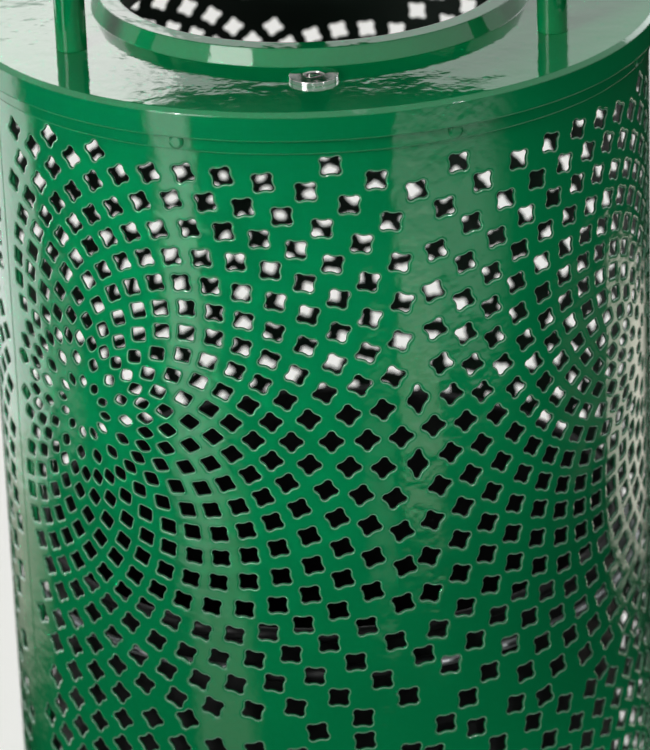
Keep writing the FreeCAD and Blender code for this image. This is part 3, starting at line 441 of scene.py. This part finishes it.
@lru_cache(maxsize=None)
def cushion(ring):
    """Opening before it is turned.

    A pointed oval near the rosette's middle, a four-lobed cushion further out.
    """
    growth = min(1.0, max(0.0, (ring - 16.0) / 95.0))
    side = 10.5 - 6.4 * math.exp(-((ring - 10.0) / 62.0))    # root of the opening's area
    power = 1.55 - 0.82 * growth ** 0.75                     # superellipse exponent
    aspect = 1.62 - 0.62 * growth ** 0.8
    corner = (0.55 + 1.40 * growth) / side                   # corner radius for side 1
    angles = np.radians(np.linspace(0.0, 90.0, 121))
    rays = np.stack([np.cos(angles), np.sin(angles)], -1)
    star = np.stack([np.cos(angles) ** (2 / power), np.sin(angles) ** (2 / power)], -1)
    star = star * [math.sqrt(aspect), 1 / math.sqrt(aspect)]
    star = np.concatenate([star, star * [1, -1], star * [-1, 1]])
    along = rays @ star.T
    across = np.outer(rays[:, 0], star[:, 1]) - np.outer(rays[:, 1], star[:, 0])
    scale = 0.5
    for _ in range(14):
        # sharp star spread by the corner radius, as distance along each ray; the last
        # term rules out discs that the ray misses
        reached = np.sqrt(np.maximum(corner ** 2 - (scale * across) ** 2, 0.0))
        missed = np.abs(scale * across) > corner
        radius = (scale * along + reached - 9.0 * missed).max(1)
        # scale towards a quarter area of 1/4
        area = float(np.sum(0.5 * (radius[1:] ** 2 + radius[:-1] ** 2) * np.diff(angles)))
        scale *= (0.5 / area) ** 0.5
    quarter = rays * radius[:, None]
    # place points partly by length, partly by bend
    steps = np.diff(quarter, axis=0)
    length = np.linalg.norm(steps, axis=1)
    bend = np.abs(np.gradient(np.unwrap(np.arctan2(steps[:, 1], steps[:, 0]))))
    share = length / length.sum() * 0.62 + bend / bend.sum() * 0.38
    share = np.concatenate([[0], np.cumsum(share)])
    count = OUTLINE_POINTS // 4
    wanted = (np.arange(count) + 0.5) / count
    quarter = np.stack([np.interp(wanted, share, quarter[:, i]) for i in (0, 1)], -1)
    loop = np.concatenate([quarter, (quarter * [-1, 1])[::-1],
                           -quarter, (quarter * [1, -1])[::-1]])
    return loop * side / math.sqrt(abs(signed_area(loop)))


def turned_outline(ring, angle):
    x, y = cushion(ring).T
    cosine, sine = math.cos(angle), math.sin(angle)
    return np.stack([(x * cosine - y * sine) * math.sqrt(STRETCH),
                     (x * sine + y * cosine) / math.sqrt(STRETCH)], -1)


def rosette(cell, row):
    """Candidate openings of one cell, ring by ring; the middle cell is mirrored."""
    turn, rise = TURN[(cell, row)]
    mirror = -1.0 if cell == 1 else 1.0
    for k, ring in enumerate(RINGS):
        count = {0: 12, 1: 15}.get(k, 30)
        stagger = 0.5 if k >= 2 and k % 2 == 0 else 0.0
        start = math.radians(turn - (INNER_TURN if k == 0 else 0.0))
        for j in range(count):
            angle = 2 * math.pi * (j + stagger) / count + start
            across, up = STRETCH * ring * math.cos(angle), ring * math.sin(angle)
            if up > 0:
                # the upper half bulges a little on its diagonals
                up *= 1.0 + 0.013 * (ring / 160.0) ** 2 * math.sin(2 * angle) ** 2
            if abs(across) > CELL_S + 2.0 or abs(up) > CELL_Z + 3.0:
                continue
            outline = turned_outline(ring, angle)
            if mirror < 0:
                outline = (outline * [-1.0, 1.0])[::-1]
            middle = math.radians(FIRST_CELL + 2 * CELL_HALF * cell) * R_OUT
            along = middle + mirror * across
            place = np.array([along % GIRTH, ROWS[row] + rise + up])
            yield Opening(along, place, outline, ring, cell, CELL_S - abs(across))


def fits_sheet(opening):
    """Whether an opening keeps clear of top, bottom, seam and blank field."""
    bottom = opening.place[1] + opening.outline[:, 1].min()
    top = opening.place[1] + opening.outline[:, 1].max()
    if bottom < PERFORATED_Z[0] or top > PERFORATED_Z[1]:
        return False
    azimuth = (math.degrees(opening.along / R_OUT) + 180.0) % 360.0 - 180.0
    half = math.degrees(opening.outline[:, 0].max() / R_OUT)
    if abs(azimuth - SEAM) < SEAM_CLEAR + half:
        return False
    return not (abs(abs(azimuth) - 180.0) < BLANK_HALF + half and top > BLANK_LOW)


def first_clash(opening, grid):
    """First kept opening that stands too close and the offset to it, or None."""
    loop = opening.outline + opening.place
    for other in around(grid, opening.place, wrap=True):
        offset = other.place - opening.place
        offset[0] = (offset[0] + GIRTH / 2) % GIRTH - GIRTH / 2
        if np.abs(offset).max() > 26:
            continue
        # least width of metal and least distance between middles
        if other.cell != opening.cell:
            web, pitch = 2.1, 9.0
        else:
            web, pitch = 0.9, 7.5 if opening.ring > 100.0 else 0.0
        gap = distances(loop, other.outline + opening.place + offset).min()
        if gap < web or np.hypot(*offset) < pitch:
            return other, offset
    return None


def merge_into(other, offset, cell):
    """Two openings that meet on the line between rosettes run into one taller opening."""
    if (other.cell != cell and abs(offset[0]) < 6.0 and 3.0 < abs(offset[1]) < 9.5
            and not other.merged and other.margin < 9.0):
        other.merged = True
        other.outline = other.outline * [0.86, 1.10 + abs(offset[1]) / 17.0]
        other.place -= offset / 2
        other.along -= offset[0] / 2


def opening_loops():
    """Every opening's outline in the unrolled sheet, anticlockwise."""
    candidates = [opening for cell in range(3) for row in range(len(ROWS))
                  for opening in rosette(cell, row)]
    kept, grid = [], {}
    for opening in sorted(candidates, key=lambda item: item.ring):
        if not fits_sheet(opening):
            continue
        clash = first_clash(opening, grid)
        if clash:
            merge_into(*clash, opening.cell)
        else:
            kept.append(opening)
            grid.setdefault(bucket(opening.place), []).append(opening)
    loops = []
    for opening in kept:
        s = (opening.along - S_LEFT) % GIRTH + S_LEFT
        loop = opening.outline + [s, opening.place[1]]
        loops.append(loop if signed_area(loop) > 0 else loop[::-1])
    return loops


# ------------------------------------------------------------------ mantle sheet

MAX_REACH = 2.0      # widest coated rim round an opening
SLOT_HALF = 0.75     # half the slot along the seam, to the flat part of the sheet
BORDER_ROUND = 0.35  # how far the rounded border stands out from the flat part
BORDER_STEPS = (170, 104)    # along s and z
# Rim of an opening from outside in: distance outwards from the outline, depth, lean of the
# normal in degrees, and the weight of the painted highlight and painted shade at the rim.
LIP = [(0.62, -0.07, 20.0, 0.38), (0.36, -0.22, 44.0, 0.64), (0.0, -0.66, 76.0, 1.0)]
WALL = [(0.0, -1.36, 100.0, 1.0), (0.12, -THICK, 160.0, 0.0)]
# Border of the sheet from outer to inner face: distance outwards, depth, lean.
BORDER = [(0.0, 0.0, 0.0), (0.22, -0.05, 30.0), (BORDER_ROUND, -0.35, 75.0),
          (BORDER_ROUND, -1.40, 105.0), (0.25, -THICK, 160.0), (0.0, -THICK, 180.0)]
S_RANGE = (S_LEFT + SLOT_HALF, S_LEFT + GIRTH - SLOT_HALF)
Z_RANGE = (Z_LOW + BORDER_ROUND, Z_TOP - BORDER_ROUND)


def outward(loop):
    """Unit directions pointing away from an anticlockwise loop."""
    edges = np.roll(loop, -1, 0) - loop
    sides = np.stack([edges[:, 1], -edges[:, 0]], -1)
    sides /= np.linalg.norm(sides, axis=1)[:, None]
    normals = sides + np.roll(sides, 1, 0)
    return normals / np.maximum(np.linalg.norm(normals, axis=1)[:, None], 1e-9)


def reach(loops):
    """How far each outline point may be spread before it nears a neighbour."""
    middles = np.array([loop.mean(0) for loop in loops])
    grid = grid_of(middles)
    result = []
    for i, loop in enumerate(loops):
        near = [loops[m] for m in around(grid, middles[i])
                if m != i and abs(middles[m] - middles[i]).max() < 27]
        room = distances(loop, np.concatenate(near)).min(1) if near else np.full(len(loop), 99.0)
        room = np.minimum(MAX_REACH, room * 0.45)
        smooth = np.minimum(np.roll(room, 1), np.roll(room, -1)) * 1.12
        result.append(np.minimum(room, smooth))
    return result


def panel_of(s, z):
    """Panel number: six round the bin, each half a cell wide, in a lower and an upper row."""
    turn = (s / R_OUT + math.radians(CELL_HALF - FIRST_CELL)) % (2 * math.pi)
    column = np.floor(turn / math.radians(CELL_HALF)).astype(int)
    return np.clip(column, 0, 5) + 6 * (z > Z_MID).astype(int)


class Sheet:
    """Collects points, normals, the weight of the painted rim highlight and shade, and triangles
    tagged by panel.
    """

    def __init__(self):
        self.points, self.normals, self.painted_rim_light = [], [], []
        self.triangles, self.panels = [], []
        self.count = 0

    def verts(self, flat, depth, sideways, lean, painted_rim_light=0.0):
        """Add points and return the index of the first.

        lean tips the normal from straight out (0) to along sideways (90) to straight in (180).
        """
        azimuth, z = flat[:, 0] / R_OUT, flat[:, 1]
        sine, cosine, zero = np.sin(azimuth), np.cos(azimuth), 0 * azimuth
        radius = R_OUT + depth
        self.points.append(np.stack([radius * sine, -radius * cosine, z], -1))
        radial = np.stack([sine, -cosine, zero], -1)
        tangent = np.stack([cosine, sine, zero], -1)
        side = tangent * sideways[:, :1] + np.array([0, 0, 1.0]) * sideways[:, 1:2]
        angle = np.radians(lean)
        self.normals.append(radial * np.cos(angle) + side * np.sin(angle))
        self.painted_rim_light.append(np.full(len(flat), painted_rim_light))
        start = self.count
        self.count += len(flat)
        return start

    def tris(self, triangles, panel):
        self.triangles.append(triangles)
        self.panels.append(np.broadcast_to(panel, (len(triangles),)))

    def bands(self, rows, count, panel, flip=False):
        """Join successive closed rows of count points."""
        i = np.arange(count)
        j = (i + 1) % count
        for a, b in zip(rows[:-1], rows[1:]):
            band = np.concatenate([np.stack([a + i, a + j, b + j], -1),
                                   np.stack([a + i, b + j, b + i], -1)])
            self.tris(band[:, ::-1] if flip else band, panel)


def add_rim(sheet, loop, room):
    """Coated rim of one opening; returns its outermost loop and both faces' first points."""
    away = outward(loop)
    outer_loop = loop + away * room[:, None]
    rows = [sheet.verts(outer_loop, 0.0, -away, 0.0)]
    for distance, depth, lean, painted_rim_light in LIP:
        spread = np.minimum(distance, room * distance * 0.85)
        rows.append(sheet.verts(loop + away * spread[:, None], depth, -away, lean, painted_rim_light))
    for distance, depth, lean, painted_rim_light in WALL:
        rows.append(sheet.verts(loop + away * distance, depth, -away, lean, painted_rim_light))
    rows.append(sheet.verts(outer_loop, -THICK, -away, 180.0))
    sheet.bands(rows, OUTLINE_POINTS, panel_of(loop[:, 0].mean(), loop[:, 1].mean()))
    return outer_loop, (OUTLINE_POINTS, rows[0], rows[-1])


def add_border(sheet):
    """Rounded border along the seam slot, top and bottom."""
    s_steps, z_steps = BORDER_STEPS
    s = np.linspace(*S_RANGE, s_steps + 1)
    z = np.linspace(*Z_RANGE, z_steps + 1)
    border = np.concatenate([
        np.stack([s[:-1], np.full(s_steps, Z_RANGE[0])], -1),
        np.stack([np.full(z_steps, S_RANGE[1]), z[:-1]], -1),
        np.stack([s[::-1][:-1], np.full(s_steps, Z_RANGE[1])], -1),
        np.stack([np.full(z_steps, S_RANGE[0]), z[::-1][:-1]], -1)])
    away = outward(border)
    away = away / np.maximum(np.abs(away).max(1), 1e-9)[:, None]    # full step at the corners
    unit = away / np.linalg.norm(away, axis=1)[:, None]
    rows = [sheet.verts(border + away * distance, depth, unit, lean)
            for distance, depth, lean in BORDER]
    panels = panel_of(np.tile(border[:, 0], 2), np.tile(border[:, 1], 2))
    sheet.bands(rows, len(border), panels, flip=True)
    return border, (len(border), rows[0], rows[-1])


def free_points(loops):
    """Staggered points between the openings that keep the curve smooth."""
    shift = 3.5
    s_grid = np.arange(S_RANGE[0] + shift, S_RANGE[1] - 3.0, 7.0)
    z_grid = np.arange(Z_RANGE[0] + shift, Z_RANGE[1] - 3.0, 11.0)
    points = np.array([(s + (shift if i % 2 else 0.0), z) for i, z in enumerate(z_grid)
                       for s in s_grid if s + shift < S_RANGE[1] - 2.0])
    middles = [loop.mean(0) for loop in loops]
    grid = grid_of(middles)

    def blocked(point, m):
        if np.abs(point - middles[m]).max() > 14:
            return False
        gap = np.sqrt(((loops[m] - point) ** 2).sum(1)).min()
        return gap < 1.6 or inside(point, loops[m])

    free = [not any(blocked(point, m) for m in around(grid, point)) for point in points]
    return points[free]


def triangulate(loops, border, extra):
    """Triangles of the flat sheet between border and openings, with their middles."""
    points = np.concatenate([*loops, border, extra])
    edges, owner = [], np.full(len(points), -1)
    start = 0
    for i, loop in enumerate([*loops, border]):
        count = len(loop)
        edges += [(start + j, start + (j + 1) % count) for j in range(count)]
        if i < len(loops):
            owner[start:start + count] = i
        start += count
    result = delaunay_2d_cdt([tuple(map(float, point)) for point in points],
                             edges, [], 0, 1e-7, True)
    faces, sources = result[2], result[3]
    source = np.array([origin[0] if len(origin) else -1 for origin in sources])
    triangles = np.array([[source[v] for v in face] for face in faces])
    triangles = triangles[(triangles >= 0).all(1)]
    middles = points[triangles].mean(1)
    # drop what fills an opening or lies beyond the border
    owners = owner[triangles]
    in_one = (owners[:, 0] >= 0) & (owners == owners[:, :1]).all(1)
    drop = ((middles[:, 0] < S_RANGE[0]) | (middles[:, 0] > S_RANGE[1])
            | (middles[:, 1] < Z_RANGE[0]) | (middles[:, 1] > Z_RANGE[1]))
    for i in np.where(in_one)[0]:
        drop[i] |= inside(middles[i], loops[owners[i, 0]])
    triangles, middles = triangles[~drop], middles[~drop]
    # turn all anticlockwise and drop slivers
    first, second, third = (points[triangles[:, k]] for k in range(3))
    area = np.cross(second - first, third - first)
    triangles = np.where((area < 0)[:, None], triangles[:, ::-1], triangles)
    solid = np.abs(area) > 1e-6
    return triangles[solid], middles[solid]


def build_sheet():
    sheet = Sheet()
    outlines = opening_loops()
    rims = [add_rim(sheet, loop, room) for loop, room in zip(outlines, reach(outlines))]
    loops = [loop for loop, _ in rims]
    border, border_span = add_border(sheet)
    extra = free_points(loops)
    no_side = np.zeros((len(extra), 2))
    extra_span = (len(extra), sheet.verts(extra, 0.0, no_side, 0.0),
                  sheet.verts(extra, -THICK, no_side, 180.0))
    # a span is a count and its first point on the outer and the inner face
    spans = [span for _, span in rims] + [border_span, extra_span]
    to_outer = np.concatenate([outer + np.arange(count) for count, outer, _ in spans])
    to_inner = np.concatenate([inner + np.arange(count) for count, _, inner in spans])
    triangles, middles = triangulate(loops, border, extra)
    panels = panel_of(middles[:, 0], middles[:, 1])
    sheet.tris(to_outer[triangles], panels)
    sheet.tris(to_inner[triangles][:, ::-1], panels)
    return sheet


def panel_object(name, points, normals, painted_rim_light, triangles):
    """One panel as an object with its own vertex normals and the attribute that weights the
    painted highlight and shade at the openings' rims.
    """
    used, inverse = np.unique(triangles.ravel(), return_inverse=True)
    normals = normals[used]
    normals = normals / np.maximum(np.linalg.norm(normals, axis=1)[:, None], 1e-9)
    mesh = bpy.data.meshes.new(name)
    mesh.vertices.add(len(used))
    mesh.vertices.foreach_set("co", (points[used] * MM).astype(np.float32).ravel())
    mesh.loops.add(len(triangles) * 3)
    mesh.loops.foreach_set("vertex_index", inverse.astype(np.int32).ravel())
    mesh.polygons.add(len(triangles))
    starts = np.arange(len(triangles)) * 3
    mesh.polygons.foreach_set("loop_start", starts.astype(np.int32))
    mesh.update(calc_edges=True)
    mesh.polygons.foreach_set("use_smooth", np.ones(len(triangles), bool))
    mesh.validate(clean_customdata=False)
    mesh.normals_split_custom_set_from_vertices([tuple(map(float, n)) for n in normals])
    attribute = mesh.attributes.new("painted_edge_light", "FLOAT", "POINT")
    attribute.data.foreach_set("value", painted_rim_light[used].astype(np.float32))
    mesh.materials.append(MANTLE_PAINT)
    panel = bpy.data.objects.new(name, mesh)
    bpy.context.scene.collection.objects.link(panel)
    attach(panel, "bin_body")
    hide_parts("mantle")


def mantle():
    sheet = build_sheet()
    vertex_data = [np.concatenate(part) for part in (sheet.points, sheet.normals, sheet.painted_rim_light)]
    triangles, panels = np.concatenate(sheet.triangles), np.concatenate(sheet.panels)
    for i in range(12):
        panel_object("mantle_panel_%02d" % i, *vertex_data, triangles[panels == i])


mantle()

# ------------------------------------------------------------------ camera

CAMERA_PLACE = (0.0, -2.43254, 1.62942)
PITCH, ROLL = 0.40505, 0.03803    # radians: down from level, about the line of sight
FOCUS_PLACE = (0.0, -0.2, 0.673)


def camera():
    data = bpy.data.cameras.new("camera")
    viewer = bpy.data.objects.new("camera", data)
    bpy.context.scene.collection.objects.link(viewer)
    forward = Vector((0, math.cos(PITCH), -math.sin(PITCH)))
    level_right = Vector((1, 0, 0))
    level_up = Vector((0, math.sin(PITCH), math.cos(PITCH)))
    right = level_right * math.cos(ROLL) - level_up * math.sin(ROLL)
    up = level_right * math.sin(ROLL) + level_up * math.cos(ROLL)
    matrix = Matrix((right, up, -forward)).transposed().to_4x4()
    matrix.translation = Vector(CAMERA_PLACE)
    viewer.matrix_world = matrix
    data.sensor_width = 36.0
    data.lens = 206.52432
    data.clip_start, data.clip_end = 0.05, 60.0
    focus = bpy.data.objects.new("focus_point", None)
    focus.location = FOCUS_PLACE
    focus.empty_display_size = 0.02
    bpy.context.scene.collection.objects.link(focus)
    data.dof.use_dof = True
    data.dof.focus_object = focus
    data.dof.aperture_fstop = 8.5
    bpy.context.scene.camera = viewer


camera()

# ------------------------------------------------------------------ floor

FLOOR_SIDES = 96
FLOOR_DROP = 0.0006
# radius and height of each ring; the floor sweeps up into a low backdrop
FLOOR_RINGS = [(0.4, 0), (1.0, 0), (2.0, 0), (3.5, 0), (6.0, 0), (10.0, 0), (14.0, 0),
               (15.0, 0.2), (15.7, 0.9), (16.0, 2.6)]


def floor_material():
    tree = material_tree("pale_floor")
    color = tree.mix(tree.noise(scale=2.2, detail=4.0, rough=0.6),
                     base=(0.745, 0.745, 0.715), over=(0.785, 0.785, 0.755))
    normal = tree.bump(tree.noise(scale=180.0, detail=4.0, rough=0.6),
                       distance=0.0005, strength=0.3)
    # a little light of its own, more of it far from the lamps, keeps the sweep pale
    coords = tree.coords()
    distance_squared = tree.vector("DOT_PRODUCT", coords, coords)
    glow = tree.ramp(distance_squared, low=9.0, high=110.0, to_low=0.405, to_high=0.86)
    return tree.surface(color, 0.85, normal, specular=0.1, glow=glow)


def floor():
    verts, faces = [(0, 0, -FLOOR_DROP)], []
    for radius, height in FLOOR_RINGS:
        for i in range(FLOOR_SIDES):
            angle = 2 * math.pi * i / FLOOR_SIDES
            verts.append((radius * math.sin(angle), -radius * math.cos(angle),
                          height - FLOOR_DROP))
    for i in range(FLOOR_SIDES):
        faces.append((0, 1 + i, 1 + (i + 1) % FLOOR_SIDES))
    for k in range(len(FLOOR_RINGS) - 1):
        a = 1 + k * FLOOR_SIDES
        b = a + FLOOR_SIDES
        for i in range(FLOOR_SIDES):
            j = (i + 1) % FLOOR_SIDES
            faces.append((a + i, b + i, b + j, a + j))
    mesh = bpy.data.meshes.new("floor")
    mesh.from_pydata(verts, [], faces)
    mesh.polygons.foreach_set("use_smooth", np.ones(len(faces), bool))
    ground = bpy.data.objects.new("floor", mesh)
    bpy.context.scene.collection.objects.link(ground)
    mesh.materials.append(floor_material())
    ground.visible_glossy = False
    ground.visible_diffuse = False


floor()

# ------------------------------------------------------------------ lamps


def lamp(name, place, target, size, watts, color=(1, 1, 1), spread=None):
    """Rectangular area lamp aimed at a target; spread narrows its beam, in degrees."""
    data = bpy.data.lights.new(name, "AREA")
    data.shape = "RECTANGLE"
    data.size, data.size_y = size
    data.energy = watts
    data.color = color
    if spread:
        data.spread = math.radians(spread)
    light = bpy.data.objects.new(name, data)
    bpy.context.scene.collection.objects.link(light)
    light.location = place
    light.rotation_mode = "QUATERNION"
    aim = Vector(target) - Vector(place)
    light.rotation_quaternion = aim.to_track_quat("-Z", "Y")


COOL_WHITE = (0.97, 0.985, 1.0)
# narrow lamps that throw a soft pool of light, falling away above and below its aim
POOL = {"size": (0.2, 0.2), "spread": 8.5}

lamp("key", (-2.9, -3.0, 2.6), (0, 0, 0.62), size=(1.7, 1.7), watts=84.0,
     color=(1.0, 0.985, 0.96))
lamp("key_pool", (-2.2, -2.3, 1.6), (-0.12, -0.15, 0.700), watts=0.112, **POOL)
lamp("front_pool", (-0.3, -3.2, 1.6), (0.0, -0.20, 0.712), watts=0.030, **POOL)
lamp("right_pool", (2.3, -2.3, 1.6), (0.08, -0.18, 0.690), watts=0.048, **POOL)
lamp("top", (0.2, 0.3, 3.6), (0, 0, 0.5), size=(2.4, 2.4), watts=38.0, color=COOL_WHITE)
lamp("back", (-1.4, 3.7, 3.0), (-0.4, 1.5, 0.0), size=(3.0, 2.0), watts=44.0,
     color=(1.0, 0.97, 0.95))
lamp("right_back", (2.5, 2.7, 2.0), (0, 0, 0.5), size=(1.4, 1.4), watts=19.0,
     color=COOL_WHITE)
lamp("low_fill", (2.1, -2.1, 0.34), (0, 0, 0.22), size=(0.3, 0.3), watts=0.14,
     color=(0.97, 1.0, 0.99), spread=8.0)

# ------------------------------------------------------------------ world

# White cards seen by glossy rays, in degrees. Azimuth runs from the front (-Y) towards +X.
# azimuth: from, to, softness of each; elevation: from, to, softness of each; strength; warm
CARDS = [
    (-55.5, -42.0, 3.0, 2.0, -22.9, -6.0, 0.8, 2.0, 2.5, False),
    (-54.0, -37.0, 3.0, 3.0, -25.2, -22.7, 1.0, 0.7, 1.5, False),
    (-50.0, -30.0, 3.0, 4.0, -40.0, -24.6, 4.0, 0.9, 0.75, True),
    (25.5, 61.0, 1.2, 10.0, -22.9, -19.4, 0.5, 1.6, 1.24, False),
    (26.0, 40.0, 1.2, 2.0, -24.9, -22.2, 0.6, 0.6, 1.30, True),
    (13.5, 22.0, 2.0, 1.5, -26.0, -23.4, 0.8, 0.5, 0.55, False),
    (-158.0, -113.0, 14.0, 4.0, -24.0, -4.0, 1.0, 2.0, 2.1, False),
    (-158.0, -122.0, 14.0, 6.0, -26.6, -23.6, 1.2, 0.8, 0.80, True),
    (-116.0, -94.0, 3.0, 4.0, -23.7, -22.0, 0.5, 0.5, 1.00, False),
    (116.0, 150.0, 1.6, 9.0, -25.4, -21.9, 0.8, 0.50, 2.1, True),
    (88.0, 114.0, 6.0, 4.0, -24.2, -22.2, 0.8, 0.5, 0.22, True),
]


def world():
    """Plain room: one tone to the camera, soft fill to rough surfaces, cards to glossy ones."""
    room = bpy.data.worlds.new("room")
    bpy.context.scene.world = room
    tree = Tree(room, "ShaderNodeOutputWorld")

    def window(value, start, end, soft_start, soft_end):
        return tree.times(tree.ramp(value, start - soft_start, start + soft_start),
                          tree.ramp(value, end + soft_end, end - soft_end))

    def tinted(strength, color):
        node = tree.add("ShaderNodeVectorMath", operation="SCALE")
        node.inputs[0].default_value = color
        tree.put(node.inputs["Scale"], strength)
        return node.outputs["Vector"]

    def background(color, strength):
        node = tree.add("ShaderNodeBackground")
        tree.put(node.inputs["Color"], rgba(color))
        tree.put(node.inputs["Strength"], strength)
        return node

    def choose(switch, off, on):
        node = tree.add("ShaderNodeMixShader")
        for socket, value in zip(node.inputs, (switch, off.outputs[0], on.outputs[0])):
            tree.put(socket, value)
        return node

    generated = tree.add("ShaderNodeTexCoord").outputs["Generated"]
    direction = tree.vector("NORMALIZE", generated)
    # noise makes the cards' outlines waver
    waver = tree.noise(scale=1.0, vector=tree.vector("MULTIPLY", direction, (7.0, 7.0, 26.0)))
    waver = tree.times(tree.calc("SUBTRACT", waver, 0.5), by=5.0)
    x, y, z = tree.split(direction)
    degrees = 180.0 / math.pi
    azimuth = tree.times(tree.calc("ARCTAN2", x, tree.times(y, by=-1.0)), by=degrees)
    azimuth = tree.plus(azimuth, waver)
    elevation = tree.times(tree.calc("ARCSINE", z), by=degrees)
    elevation = tree.level(base=elevation, value=waver, gain=0.18)

    cool = warm = 0.0
    for *edges, strength, is_warm in CARDS:
        card = tree.times(window(azimuth, *edges[:4]), window(elevation, *edges[4:]))
        card = tree.times(card, by=strength)
        if is_warm:
            warm = tree.plus(warm, card)
        else:
            cool = tree.plus(cool, card)
    # brighter room above the horizon and far below it
    sky = tree.ramp(elevation, low=-16.0, high=14.0, to_low=0.010, to_high=1.15)
    ground = tree.ramp(elevation, low=-30.0, high=-52.0, to_high=0.75)
    cool = tree.plus(cool, tree.plus(sky, ground))
    cards = tree.vector("ADD", tinted(cool, color=(0.97, 1.0, 0.985)),
                        tinted(warm, color=(1.04, 0.97, 0.84)))

    glossy = tree.add("ShaderNodeBackground")
    tree.put(glossy.inputs["Color"], cards)
    backdrop = background(color=(0.78, 0.755, 0.74), strength=1.0)
    fill = tree.plus(tree.ramp(elevation, low=-25.0, high=45.0, to_low=0.012, to_high=0.075),
                     tree.ramp(elevation, low=-4.0, high=-50.0, to_high=0.36))
    diffuse = background(color=(0.93, 0.97, 1.0), strength=fill)
    rays = tree.add("ShaderNodeLightPath").outputs
    unseen = choose(rays["Is Glossy Ray"], off=diffuse, on=glossy)
    tree.finish(choose(rays["Is Camera Ray"], off=unseen, on=backdrop))


world()
bpy.context.scene.view_settings.view_transform = "Standard"
bpy.context.scene.view_settings.look = "None"
